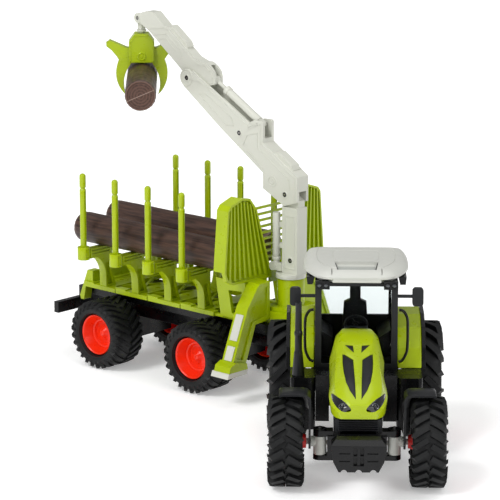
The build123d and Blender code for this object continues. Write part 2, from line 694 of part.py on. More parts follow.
def make_stakes():
    """Round posts with a domed tip and a neck groove, pushed into the sockets."""
    foot = SOCKET_Z + SOCKET_H / 2
    with BuildPart() as one:
        with BuildSketch(Plane.XZ):
            with BuildLine():
                Polyline((0, foot), (STAKE_R, foot), (STAKE_R, STAKE_TOP - 13),
                         (STAKE_R - 0.6, STAKE_TOP - 12.2), (STAKE_R - 0.6, STAKE_TOP - 11.4),
                         (STAKE_R, STAKE_TOP - 10.6),
                         (STAKE_R, STAKE_TOP - STAKE_R))
                RadiusArc((STAKE_R, STAKE_TOP - STAKE_R), (0, STAKE_TOP), -STAKE_R)
                Line((0, STAKE_TOP), (0, foot))
            make_face()
        revolve(axis=Axis.Z)
        bar((STAKE_R - 0.9, -0.7, SOCKET_Z + SOCKET_H + 1.5), (STAKE_R + 1, 0.7, STAKE_TOP - 14),
            mode=Mode.SUBTRACT)
    with BuildPart() as stakes:
        with Locations(*[(x, side * STAKE_Y, 0) for x in STAKE_X for side in (-1, 1)]):
            add(one.part)
    return stakes


def make_headboard():
    """Ribbed wings with a V-shaped grid window between them."""
    wing = [(3, 88), (47, 89.5), (53.5, 93), (56, 100), (52, 146), (49, 149.6), (36.5, 153.7),
            (28, 152.2), (20.5, 143.2)]
    ribs = 8
    with BuildPart() as board:
        with BuildSketch(Plane.YZ.offset(HEADBOARD_X)):
            side_polygon(wing)
        extrude(amount=1.2)
        for i in range(ribs):
            share = (i + 0.5) / ribs
            top, low = 22.5 + 27.5 * share, 8.5 + 44.5 * share
            top_z = 145.5 + 5.4 * min(share * 2.6, 1) - 3.4 * max(share - 0.6, 0) / 0.4
            with BuildSketch(Plane.YZ.offset(HEADBOARD_X + 1.2)):
                side_polygon([(top - 0.6, top_z), (top + 0.6, top_z), (low + 0.8, 92.4), (low - 0.8, 92.4)])
            extrude(amount=2.2)
        with BuildSketch(Plane.YZ.offset(HEADBOARD_X + 1.2)):
            side_polygon(wing)
            offset(amount=-1.6, mode=Mode.SUBTRACT)
        extrude(amount=2.2)
        with BuildSketch(Plane.YZ.offset(HEADBOARD_X - 8)):
            side_polygon([(54.0, 100), (56, 100), (52, 146), (49, 149.6), (36.5, 153.7), (36.4, 151.6),
                          (48, 147.8), (50, 145)])
        extrude(amount=8.2)
        mirror(about=Plane.XZ)
        # grid window
        for i in range(9):
            z = 143 - 4.9 * i
            half = 3 + 17.5 * (z - 88) / 55.2 + 0.6
            bar((HEADBOARD_X, -half, z - 0.8), (HEADBOARD_X + 1.8, half, z + 0.8))
        bar((HEADBOARD_X, -0.9, 90), (HEADBOARD_X + 1.8, 0.9, 143.5))
        bar((HEADBOARD_X, -4, 84), (HEADBOARD_X + 2, 4, 92))
        bar((84, -40, DECK_Z), (88, 40, 60))
        for side in (-1, 1):
            low, high = sorted((side * 8, side * 30))
            bar((84.5, low, 58), (88, high, 89.6))
            # side bracket with an opening, from the deck's edge up to the wing
            low, high = sorted((side * 29.6, side * 32.4))
            with BuildSketch(Plane((0, high, 0), x_dir=(1, 0, 0), z_dir=(0, -1, 0))):
                side_polygon([(58, 88), (88, 88), (88, 59), (63, 59)])
                side_polygon([(71, 80), (84.5, 81), (84.5, 62.5), (74.5, 62.5)], mode=Mode.SUBTRACT)
            extrude(amount=high - low)
    return board


def make_crane_base():
    """Stepped block and round tube that carry the crane's turntable."""
    with BuildPart() as base:
        bar((90, -18, DECK_Z), (120, 18, 66))
        bar((92.5, -16, 66), (117.5, 16, 69))
        for i in range(4):
            for side in (-1, 1):
                with Locations((120, side * (9 + 2.6 * i), 61.4)):
                    Cylinder(0.9, 9)
        with Locations((SLEW_X, 0, 79.5)):
            Cylinder(10.3, 21)
            Cylinder(6 + FIT, 26, mode=Mode.SUBTRACT)
    return base


def make_outriggers():
    """Fixed stabiliser arms: a gusseted arm, a sloping leg and a foot block on each side."""
    with BuildPart() as legs:
        with BuildSketch(Plane.YZ.offset(LEG_X - LEG_HALF)):
            side_polygon(LEG_OUTER + LEG_INNER)
        extrude(amount=2 * LEG_HALF)
        with BuildSketch(Plane.YZ.offset(LEG_X + LEG_HALF - 1.4)):
            side_polygon([(21, 86), (31, 81), (39, 71.5), (55, 36), (48, 34), (37, 61), (21, 63)])
        extrude(amount=2, mode=Mode.SUBTRACT)
        with BuildSketch(Plane.YZ.offset(LEG_X - 8)):
            side_polygon([(44.5, 27), (65, 27), (63.5, 31.5), (58, 34), (45.5, 31.5)])
        extrude(amount=15.6)
        mirror(about=Plane.XZ)
    return legs


def make_outrigger_soles():
    with BuildPart() as soles:
        with BuildSketch(Plane.YZ.offset(LEG_X - 9.6)):
            side_polygon([(45.5, 23), (67, 23), (65.4, 27), (44.5, 27)])
        extrude(amount=17.2)
        mirror(about=Plane.XZ)
    return soles


def make_reflectors():
    """Two white reflector strips on each leg's outer face."""
    with BuildPart() as strips:
        for start, end in ((0.13, 0.6), (0.7, 0.96)):
            knee, foot = LEG_OUTER[-2:]
            low = [knee[i] + (foot[i] - knee[i]) * end for i in (0, 1)]
            high = [knee[i] + (foot[i] - knee[i]) * start for i in (0, 1)]
            with BuildSketch(Plane.YZ.offset(LEG_X - 3.6)):
                side_polygon([tuple(high), tuple(low), (low[0] + 0.6, low[1] + 0.25),
                              (high[0] + 0.6, high[1] + 0.25)])
            extrude(amount=7.4)
        mirror(about=Plane.XZ)
    return strips


def turned(piece, x):
    """A wheelset modelled about X, turned to lie across the trailer at `x`."""
    with BuildPart() as across:
        add(piece.part, rotation=(0, 0, 90))
    with BuildPart() as moved:
        with Locations((x, 0, 0)):
            add(across.part)
    return moved


def make_log(length):
    with BuildPart() as log:
        Cylinder(LOG_R, length, rotation=(0, 90, 0))
        chamfer(log.edges().filter_by(GeomType.CIRCLE), 1.2)
    return log


def lying_log(x, y):
    trunk = make_log(LOG_LENGTH).part
    with BuildPart() as log:
        with Locations((x, y, ARM_TOP_Z + 0.05 + LOG_R)):
            add(trunk)
    return log


# ---------------------------------------------------------------- crane
def plate(points, half_width):
    """A side profile (x, z) made into a solid of the given half width about Y = 0."""
    with BuildPart() as solid:
        with BuildSketch(Plane.XZ):
            side_polygon(points)
        extrude(amount=half_width, both=True)
    return solid


def make_crane_column():
    with BuildPart() as column:
        with Locations((SLEW_X, 0, COLLAR_Z + 1.7)):
            Cylinder(COLLAR_R, 3.4)
        with Locations((SLEW_X, 0, 80)):
            Cylinder(6, 20.6)
        bar((COLUMN_X - COLUMN_HALF_L, -COLUMN_HALF_W, COLLAR_Z + 3),
            (COLUMN_X + COLUMN_HALF_L, COLUMN_HALF_W, COLUMN_TOP))
        add(plate([(99.4, COLUMN_TOP - 4), (115.4, COLUMN_TOP - 4), (115.4, 150), (108.6, BOOM_PIVOT[1]),
                   (99.4, BOOM_PIVOT[1])], 3.5).part)
        cross_pin(*BOOM_PIVOT, 4.8, 3.5)
        cross_pin(*BOOM_PIVOT, ROOT_PIN_R + FIT, 5, mode=Mode.SUBTRACT)
        add(make_column_ram().part)
    return column


def make_column_ram():
    """Upright ram beside the column, with its round lower eye."""
    with BuildPart() as ram:
        with Locations((94.2, -4.2, 122.5)):
            Cylinder(2.9, 33)
        with Locations((94.2, -4.2, 104.2)):
            Cylinder(3.3, 2.4)
            Cylinder(2.3, 9)
        with Locations((92.6, -4.4, 97.8)):
            Cylinder(3.3, 5.4, rotation=(90, 0, 0))
        bar((92.6, -6.4, 94.8), (COLUMN_X - COLUMN_HALF_L, -2.4, 100.8))
        for z in (112, 128):
            bar((94.5, -4.0, z), (COLUMN_X - COLUMN_HALF_L, -2.2, z + 4))
    return ram


def make_boom():
    """Main boom: a channel between two cheeks, forked at the root and at the elbow."""
    outline = [(9.4, 237.2), (26.3, 227.6), (67.6, 203.9), (73, 206.4), (81, 206.6), (82.1, 205.6),
               (82.1, 190.5), (116.4, 168.6), (116.6, 149.4), (103.3, 145.2),
               (82.1, 156), (82.1, 167.7), (38, 197.2), (0, 224.6)]
    cover = [(92, 182.6), (93.2, 184.6), (95.8, 184.9), (108.9, 176.6), (110.6, 172.9), (108, 172), (94, 181)]
    with BuildPart() as boom:
        add(plate(outline, BOOM_HALF_W).part)
        add(plate(cover, BOOM_HALF_W - 2.2).part)
        cross_pin(*ELBOW, 7.0, BOOM_HALF_W)
        # elbow fork, then the shallow channel that the jib ram lies in
        add(plate([(-8, 245), (-8, 218), (10, 214), (40, 214), (40, 244)], CHANNEL_HALF_W).part,
            mode=Mode.SUBTRACT)
        add(plate([(14, 242), (14, 222), (70, 190.5), (80.2, 196), (80.2, 215)], CHANNEL_HALF_W - 0.8).part,
            mode=Mode.SUBTRACT)
        # the ram's bracket is open between its two ears
        add(plate([(76, 215), (76, 193.5), (84, 193.5), (84, 215)], CHANNEL_HALF_W - 0.8).part,
            mode=Mode.SUBTRACT)
        # slot for the column's tongue
        add(plate([(93, 140), (93, 150), (96, 163), (112, 163), (122, 150), (122, 140)], 3.9).part,
            mode=Mode.SUBTRACT)
        for place, radius in ((ELBOW, ELBOW_PIN_R), (BARREL_PIVOT, ROD_PIN_R), (BOOM_PIVOT, ROOT_PIN_R)):
            cross_pin(*place, radius, BOOM_HALF_W - 0.6, mode=Mode.SUBTRACT)
            cross_pin(*place, radius - 0.2, BOOM_HALF_W + 1, mode=Mode.SUBTRACT)
        cross_pin(58, 195, 1.5, BOOM_HALF_W + 1, mode=Mode.SUBTRACT)
    return boom


def make_boom_pins():
    """Metal screws and pins through the boom."""
    with BuildPart() as pins:
        for place, radius in ((ELBOW, ELBOW_PIN_R), (BARREL_PIVOT, ROD_PIN_R), (BOOM_PIVOT, ROOT_PIN_R)):
            cross_pin(*place, radius, BOOM_HALF_W - 0.6)
        cross_pin(58, 195, 1.5, BOOM_HALF_W - 0.4)
    return pins


def make_jib():
    """Outer boom: a bent arm with a forked tip and a forked tail for the ram."""
    outline = [(-48.9, 275.4), (-41.2, 277.8), (-33.3, 277.8), (-21.4, 268.2), (-17, 267.6), (0.3, 254.2),
               (10, 247), (18.1, 244.2), (22, 244.4), (27.2, 241.4), (30.4, 238.3), (31.8, 234), (31.6, 228.6),
               (26, 227.2), (8, 226), (-5.2, 237.6), (-38.2, 263), (-47.9, 268)]
    cover = [(-17, 267), (-15, 269.3), (-12.4, 267.8), (0.7, 258.1), (2.6, 254.6), (1, 252), (-15, 264)]
    with BuildPart() as jib:
        add(plate(outline, JIB_HALF_W).part)
        add(plate(cover, JIB_HALF_W - 1.2).part)
        cross_pin(*ELBOW, 6.2, JIB_HALF_W)
        cross_pin(*JIB_TIP, 3.9, JIB_HALF_W)
        cross_pin(*ELBOW, ELBOW_PIN_R + FIT, 10, mode=Mode.SUBTRACT)
        add(plate([(21, 222), (21.6, 242), (40, 244), (40, 222)], 2.3).part, mode=Mode.SUBTRACT)
        add(plate([(-60, 260), (-60, 280), (-44, 280), (-44, 260)], 2.4).part, mode=Mode.SUBTRACT)
        cross_pin(*JIB_TIP, TIP_PIN_R, JIB_HALF_W - 0.3)
        cross_pin(*ROD_END, ROD_PIN_R, JIB_HALF_W - 0.3)
    return jib


RAM_DX, RAM_DZ = ROD_END[0] - BARREL_PIVOT[0], ROD_END[1] - BARREL_PIVOT[1]
RAM_LENGTH = (RAM_DX ** 2 + RAM_DZ ** 2) ** 0.5
RAM_PLANE = Plane((BARREL_PIVOT[0], 0, BARREL_PIVOT[1]), x_dir=(0, 1, 0), z_dir=(RAM_DX, 0, RAM_DZ))


def along_ram(start, end, radius, mode=Mode.ADD):
    with BuildSketch(RAM_PLANE.offset(start)) as ring:
        Circle(radius)
    extrude(ring.sketch, amount=end - start, mode=mode)


def make_jib_barrel():
    with BuildPart() as barrel:
        along_ram(3.5, 42, 3.0)
        along_ram(39, 42.5, 3.5)
        with BuildSketch(RAM_PLANE):
            Rectangle(4.2, 4.4)
        extrude(amount=6)
        cross_pin(*BARREL_PIVOT, 2.4, 2.1)
        cross_pin(*BARREL_PIVOT, ROD_PIN_R + FIT, 10, mode=Mode.SUBTRACT)
        along_ram(14, 45, 1.5 + FIT, Mode.SUBTRACT)
    return barrel


def make_jib_rod():
    with BuildPart() as rod:
        along_ram(25, RAM_LENGTH - 2.2, 1.5)
        cross_pin(*ROD_END, ROD_PIN_R + ROD_PLAY + 1.1, 2.0)
        cross_pin(*ROD_END, ROD_PIN_R + ROD_PLAY, 10, mode=Mode.SUBTRACT)
    return rod


def make_hanger():
    """Link that hangs from the jib's tip and ends in the rotator's spigot."""
    x, z = JIB_TIP
    with BuildPart() as hanger:
        cross_pin(x, z, 3.2, 2.1)
        bar((x - 2.1, -2.1, z - 9.5), (x + 2.1, 2.1, z - 1))
        with Locations((x, 0, z - 10.2)):
            Cylinder(3.6, 1.8)
        with Locations((x, 0, z - 13.5)):
            Cylinder(SPIGOT_R, 8)
        cross_pin(x, z, TIP_PIN_R + FIT, 10, mode=Mode.SUBTRACT)
    return hanger


# ---------------------------------------------------------------- grapple
def make_grapple_body():
    """House-shaped body: two plates that hold the claws' pins, closed at the top."""
    with BuildPart() as body:
        add(plate([(-9.8, 237.2), (9.8, 237.2), (9.8, 253.6), (5.4, 259.6), (-5.4, 259.6),
                   (-9.8, 253.6)], 7.6).part)
        bar((-12, -CLAW_HALF_W - 0.4, 230), (12, CLAW_HALF_W + 0.4, 253), mode=Mode.SUBTRACT)
        with Locations((0, 0, 256)):
            Cylinder(SPIGOT_R + FIT, 16, mode=Mode.SUBTRACT)
        for side in (-1, 1):
            cross_pin(side * CLAW_PIVOT_X, CLAW_PIVOT_Z, ROD_PIN_R, 7)
        cross_pin(0, 242.2, 2.9, 8.1)
        bar((-3, -CLAW_HALF_W - 0.4, 238), (3, CLAW_HALF_W + 0.4, 246), mode=Mode.SUBTRACT)
    return body


def make_claw(side):
    """Crescent claw with a thumb lever, pivoted inside the body."""
    z = HELD_LOG_Z
    with BuildPart() as claw:
        with BuildSketch(Plane.XZ):
            with BuildLine():
                Line((side * 2.2, 246.6), (side * 12, 248.6))
                Polyline((side * 12, 248.6), (side * 25.0, 254.4), (side * 27.2, 251.4), (side * 19.4, 242.0),
                         (side * 17.6, 239))
                ThreePointArc((side * 17.6, 239), (side * 19.8, z + 1), (side * 12.6, z - 12.6))
                ThreePointArc((side * 12.6, z - 12.6), (side * 13.9, z - 1), (side * 9.2, z + 10.6))
                Polyline((side * 9.2, z + 10.6), (side * 7, 238.6), (side * 2.2, 238.6), (side * 2.2, 246.6))
            make_face()
        extrude(amount=CLAW_HALF_W, both=True)
        with BuildSketch(Plane.XZ):
            side_polygon([(side * 12, 248.6), (side * 12.6, 244), (side * 19, 243), (side * 27.4, 249.4),
                          (side * 27.6, 252.6), (side * 24.6, 254.2)])
        extrude(amount=2.2, both=True)
        cross_pin(side * CLAW_PIVOT_X, CLAW_PIVOT_Z, ROD_PIN_R + FIT, 12, mode=Mode.SUBTRACT)
    return claw


def make_held_log():
    trunk = make_log(LOG_LENGTH).part
    with BuildPart() as log:
        with Locations(Location((0, 0, HELD_LOG_Z), (0, 0, 90))):
            add(trunk)
    return log


# ---------------------------------------------------------------- build and place
TRACTOR = Location((0, 0, 0))
TRAILER = (Location((0, HITCH_Y, 0), (0, 0, TRAILER_HEADING)) * Location((-HITCH_TO_TRAILER, 0, 0)))
GRAPPLE = TRAILER * Location((JIB_TIP[0], 0, 0), (0, 0, GRAPPLE_TURN))

for piece_name, maker in {
    "chassis": make_chassis, "front_axle_beam": make_axle_beam, "bonnet": make_bonnet,
    "bonnet_grilles": make_bonnet_grilles, "headlights": make_headlights,
    "front_weight": make_front_weight, "cab_frame": make_cab_frame,
    "cab_windows": make_cab_windows, "cab_interior": make_cab_interior, "seat": make_seat,
    "dashboard": make_dashboard, "steering_wheel": make_steering_wheel, "roof": make_roof,
    "roof_lights": make_roof_lights, "mirrors": make_mirrors, "handrails": make_handrails,
    "exhaust": make_exhaust, "rear_fenders": make_rear_fenders, "fender_trims": make_fender_trims,
    "fuel_tanks": make_fuel_tanks, "tow_hitch": make_tow_hitch,
}.items():
    keep(maker(), piece_name, TRACTOR)

for hand, side in (("right", -1), ("left", 1)):
    width = sorted((side * FRONT_TYRE_IN, side * FRONT_TYRE_OUT))
    keep(make_knuckle(side), f"knuckle_{hand}", TRACTOR)
    keep(make_front_fender(side), f"front_fender_{hand}", TRACTOR)
    keep(make_tyre(*width, FRONT_AXLE_Y, FRONT_TYRE_R, FRONT_TYRE_R, FRONT_BEAD_R),
         f"front_tyre_{hand}", TRACTOR)
    keep(make_rim(*width, FRONT_AXLE_Y, FRONT_TYRE_R, FRONT_BEAD_R, STUB_R + FIT),
         f"front_rim_{hand}", TRACTOR)

keep(both_sides(make_tyre, REAR_TYRE_IN, REAR_TYRE_OUT, 0, REAR_TYRE_R, REAR_TYRE_R, REAR_BEAD_R),
     "rear_tyres", TRACTOR)
keep(both_sides(make_rim, REAR_TYRE_IN, REAR_TYRE_OUT, 0, REAR_TYRE_R, REAR_BEAD_R, REAR_AXLE_R),
     "rear_rims", TRACTOR)
keep(make_tie_rod(), "tie_rod", TRACTOR)
keep(make_axle(0, REAR_TYRE_R, REAR_AXLE_R, 55), "rear_axle", TRACTOR)

for piece_name, maker in {
    "trailer_frame": make_trailer_frame, "drawbar": make_drawbar,
    "load_deck": make_load_deck, "bolsters": make_bolsters, "stakes": make_stakes,
    "headboard": make_headboard, "crane_base": make_crane_base, "outriggers": make_outriggers,
    "outrigger_soles": make_outrigger_soles, "reflectors": make_reflectors,
    "crane_column": make_crane_column, "boom": make_boom,
    "boom_pins": make_boom_pins, "jib": make_jib,
    "jib_barrel": make_jib_barrel, "jib_rod": make_jib_rod, "hanger": make_hanger,
}.items():
    keep(maker(), piece_name, TRAILER)

for where, x in (("front", BOGIE_HALF), ("rear", -BOGIE_HALF)):
    size = (TRAILER_TYRE_IN, TRAILER_TYRE_OUT, 0, TRAILER_TYRE_R)
    keep(turned(both_sides(make_tyre, *size, TRAILER_TYRE_R, TRAILER_BEAD_R), x),
         f"trailer_tyres_{where}", TRAILER)
    keep(turned(rims_on_axle(*size, TRAILER_BEAD_R, TRAILER_AXLE_R), x), f"trailer_rims_{where}", TRAILER)

keep(lying_log(-1.0, -31.0), "cargo_log_near", TRAILER)
keep(lying_log(-13.5, 16.5), "cargo_log_far", TRAILER)

keep(make_grapple_body(), "grapple_body", GRAPPLE)
keep(make_claw(-1), "claw_right", GRAPPLE)
keep(make_claw(1), "claw_left", GRAPPLE)
keep(make_held_log(), "held_log", GRAPPLE)

# the shared origin is the middle of the whole toy's footprint, on the ground
placed = {name: place * part for name, (part, place) in pieces.items()}
boxes = [solid.bounding_box() for solid in placed.values()]
middle_x = (max(box.max.X for box in boxes) + min(box.min.X for box in boxes)) / 2
middle_y = (max(box.max.Y for box in boxes) + min(box.min.Y for box in boxes)) / 2
ORIGIN = Location((-middle_x, -middle_y, 0))

for name, solid in placed.items():
    finished = ORIGIN * solid
    finished.label = name
    export_step(finished, f"parts/{name}.step")
print("pieces", len(placed), "origin moved by", ORIGIN.position)
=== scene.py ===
"""Toy forestry tractor with a loaded crane trailer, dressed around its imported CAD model."""
import json
from math import cos, hypot, pi, radians, sin, tau
from random import Random

import bmesh
import bpy
from mathutils import Matrix, Vector
from mathutils.bvhtree import BVHTree
from mathutils.noise import noise as perlin


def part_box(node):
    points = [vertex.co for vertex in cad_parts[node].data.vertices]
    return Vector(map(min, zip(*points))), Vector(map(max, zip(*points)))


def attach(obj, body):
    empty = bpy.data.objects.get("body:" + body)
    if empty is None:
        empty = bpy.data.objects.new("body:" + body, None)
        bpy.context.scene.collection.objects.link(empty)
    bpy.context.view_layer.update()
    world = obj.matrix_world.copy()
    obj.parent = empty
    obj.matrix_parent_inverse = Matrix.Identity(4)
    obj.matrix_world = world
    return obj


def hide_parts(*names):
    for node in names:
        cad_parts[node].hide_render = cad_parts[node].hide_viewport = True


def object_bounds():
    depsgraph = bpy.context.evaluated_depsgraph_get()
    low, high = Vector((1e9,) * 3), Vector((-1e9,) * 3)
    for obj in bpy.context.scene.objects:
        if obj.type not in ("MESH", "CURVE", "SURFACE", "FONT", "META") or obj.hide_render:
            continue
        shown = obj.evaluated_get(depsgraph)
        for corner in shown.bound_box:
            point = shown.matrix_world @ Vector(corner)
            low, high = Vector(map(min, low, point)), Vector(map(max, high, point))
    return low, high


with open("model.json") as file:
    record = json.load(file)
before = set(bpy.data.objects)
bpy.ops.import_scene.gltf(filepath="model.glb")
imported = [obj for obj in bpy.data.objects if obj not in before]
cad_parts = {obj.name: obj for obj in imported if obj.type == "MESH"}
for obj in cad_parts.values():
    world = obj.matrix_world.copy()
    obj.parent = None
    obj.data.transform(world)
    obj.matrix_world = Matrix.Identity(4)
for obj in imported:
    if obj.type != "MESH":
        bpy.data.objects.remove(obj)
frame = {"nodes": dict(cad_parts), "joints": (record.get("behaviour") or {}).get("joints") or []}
cad_low, cad_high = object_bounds()

MM = 0.001
JOINTS = {j["name"]: j for j in frame["joints"]}


def pivot(joint):
    return Vector(JOINTS[joint]["pos_m"])


# ---------------------------------------------------------------- frames, all in millimetres
def frame_at(origin, x_axis):
    """Millimetres in a frame that stands upright at origin, as a matrix to the row frame."""
    x_axis = Vector((x_axis.x, x_axis.y, 0)).normalized()
    y_axis = Vector((-x_axis.y, x_axis.x, 0))
    turn = Matrix((x_axis, y_axis, Vector((0, 0, 1)))).transposed().to_4x4()
    return Matrix.Translation(origin) @ turn @ Matrix.Scale(MM, 4)


def ground(point):
    return Vector((point.x, point.y, 0))


TRACTOR = frame_at(ground(pivot("rear_axle_spin")), Vector((1, 0, 0)))
FRONT_TRAILER_AXLE = pivot("trailer_front_axle_spin")
REAR_TRAILER_AXLE = pivot("trailer_rear_axle_spin")
TRAILER = frame_at(ground((FRONT_TRAILER_AXLE + REAR_TRAILER_AXLE) / 2),
                   FRONT_TRAILER_AXLE - REAR_TRAILER_AXLE)
GRAPPLE = frame_at(ground(pivot("grapple_rotate")), pivot("claw_left_open") - pivot("claw_right_open"))


# ---------------------------------------------------------------- materials
def node(tree, kind, at, **values):
    made = tree.nodes.new(kind)
    made.location = at
    for key, value in values.items():
        if key in made.inputs:
            made.inputs[key].default_value = value
        else:
            setattr(made, key, value)
    return made


def srgb(red, green, blue):
    """An 8-bit display colour as linear RGBA."""
    def linear(c):
        c /= 255
        return c / 12.92 if c <= 0.04045 else ((c + 0.055) / 1.055) ** 2.4
    return (linear(red), linear(green), linear(blue), 1)


def shade(colour, factor):
    return tuple(min(1, c * factor) for c in colour[:3]) + (1,)


def moulded(name, colour, roughness, grain=900, bump=0.05, mottle=0.06, coat=0.0, dust=0.0,
            specular=0.4):
    """Moulded plastic or rubber: slow mottling, fine orange peel and a roughness that wanders."""
    made = bpy.data.materials.new(name)
    made.use_nodes = True
    tree = made.node_tree
    tree.nodes.clear()
    out = node(tree, "ShaderNodeOutputMaterial", (700, 0))
    bsdf = node(tree, "ShaderNodeBsdfPrincipled", (400, 0),
                **{"Coat Weight": coat, "Coat Roughness": 0.12, "Specular IOR Level": specular})
    tree.links.new(bsdf.outputs["BSDF"], out.inputs["Surface"])
    place = node(tree, "ShaderNodeTexCoord", (-900, 0))

    def noise(scale, detail, at):
        made = node(tree, "ShaderNodeTexNoise", at, Scale=scale, Detail=detail)
        tree.links.new(place.outputs["Object"], made.inputs["Vector"])
        return made.outputs["Fac"]

    slow = node(tree, "ShaderNodeValToRGB", (-300, 300))
    slow.color_ramp.elements[0].position, slow.color_ramp.elements[1].position = 0.3, 0.7
    slow.color_ramp.elements[0].color = shade(colour, 1 - mottle)
    slow.color_ramp.elements[1].color = shade(colour, 1 + mottle)
    tree.links.new(noise(45, 3, (-600, 300)), slow.inputs["Fac"])
    base = slow.outputs["Color"]
    if dust:
        haze = node(tree, "ShaderNodeMix", (0, 300), data_type="RGBA")
        haze.inputs[7].default_value = shade(colour, 2.2)
        up = node(tree, "ShaderNodeMapRange", (-250, 80),
                  **{"From Min": 0.52, "From Max": 0.75, "To Max": dust})
        tree.links.new(noise(260, 5, (-600, 80)), up.inputs["Value"])
        tree.links.new(up.outputs["Result"], haze.inputs["Factor"])
        tree.links.new(base, haze.inputs[6])
        base = haze.outputs[2]
    tree.links.new(base, bsdf.inputs["Base Color"])
    polish = node(tree, "ShaderNodeMapRange", (-250, -150),
                  **{"From Min": 0.3, "From Max": 0.7, "To Min": roughness - 0.05, "To Max": roughness + 0.07})
    tree.links.new(noise(150, 2, (-600, -150)), polish.inputs["Value"])
    tree.links.new(polish.outputs["Result"], bsdf.inputs["Roughness"])
    peel = node(tree, "ShaderNodeBump", (0, -400), Strength=bump, Distance=0.0004)
    tree.links.new(noise(grain, 2, (-600, -400)), peel.inputs["Height"])
    tree.links.new(peel.outputs["Normal"], bsdf.inputs["Normal"])
    return made, tree, bsdf


def plain(*args, **kwargs):
    return moulded(*args, **kwargs)[0]


SLOT_OF = {name: cad.data.materials[0].name.split(".")[0] for name, cad in frame["nodes"].items()}
MATERIALS = {
    "lime_plastic": plain("lime_plastic", srgb(164, 184, 0), 0.3, mottle=0.05, coat=0.12, specular=0.35),
    "white_plastic": plain("white_plastic", srgb(206, 207, 196), 0.36, mottle=0.012, coat=0.08),
    "light_grey_plastic": plain("light_grey_plastic", srgb(198, 199, 192), 0.4, mottle=0.012),
    "dark_grey_plastic": plain("dark_grey_plastic", srgb(24, 25, 28), 0.34, mottle=0.05, specular=0.3),
    "black_plastic": plain("black_plastic", srgb(8, 8, 10), 0.28, mottle=0.08, specular=0.3),
    "tyre": plain("tyre", srgb(15, 16, 17), 0.55, grain=1400, bump=0.16, mottle=0.08, dust=0.05,
                  specular=0.3),
    "red_plastic": plain("red_plastic", srgb(196, 16, 10), 0.34),
    "orange_plastic": plain("orange_plastic", srgb(236, 44, 8), 0.32),
    "steel": plain("steel", srgb(150, 148, 144), 0.3),
    "lamp": plain("lamp", srgb(14, 15, 18), 0.14, coat=0.8),
    "lens": plain("lens", srgb(62, 65, 70), 0.14, coat=0.9),
    "smoke": plain("smoke", srgb(172, 176, 170), 0.2, coat=0.4),
}
MATERIALS["steel"].node_tree.nodes["Principled BSDF"].inputs["Metallic"].default_value = 1.0


def window_material():
    made, _, bsdf = moulded("window", srgb(240, 244, 244), 0.08, mottle=0.01, bump=0.01)
    bsdf.inputs["Transmission Weight"].default_value = 1.0
    bsdf.inputs["IOR"].default_value = 1.05
    return made


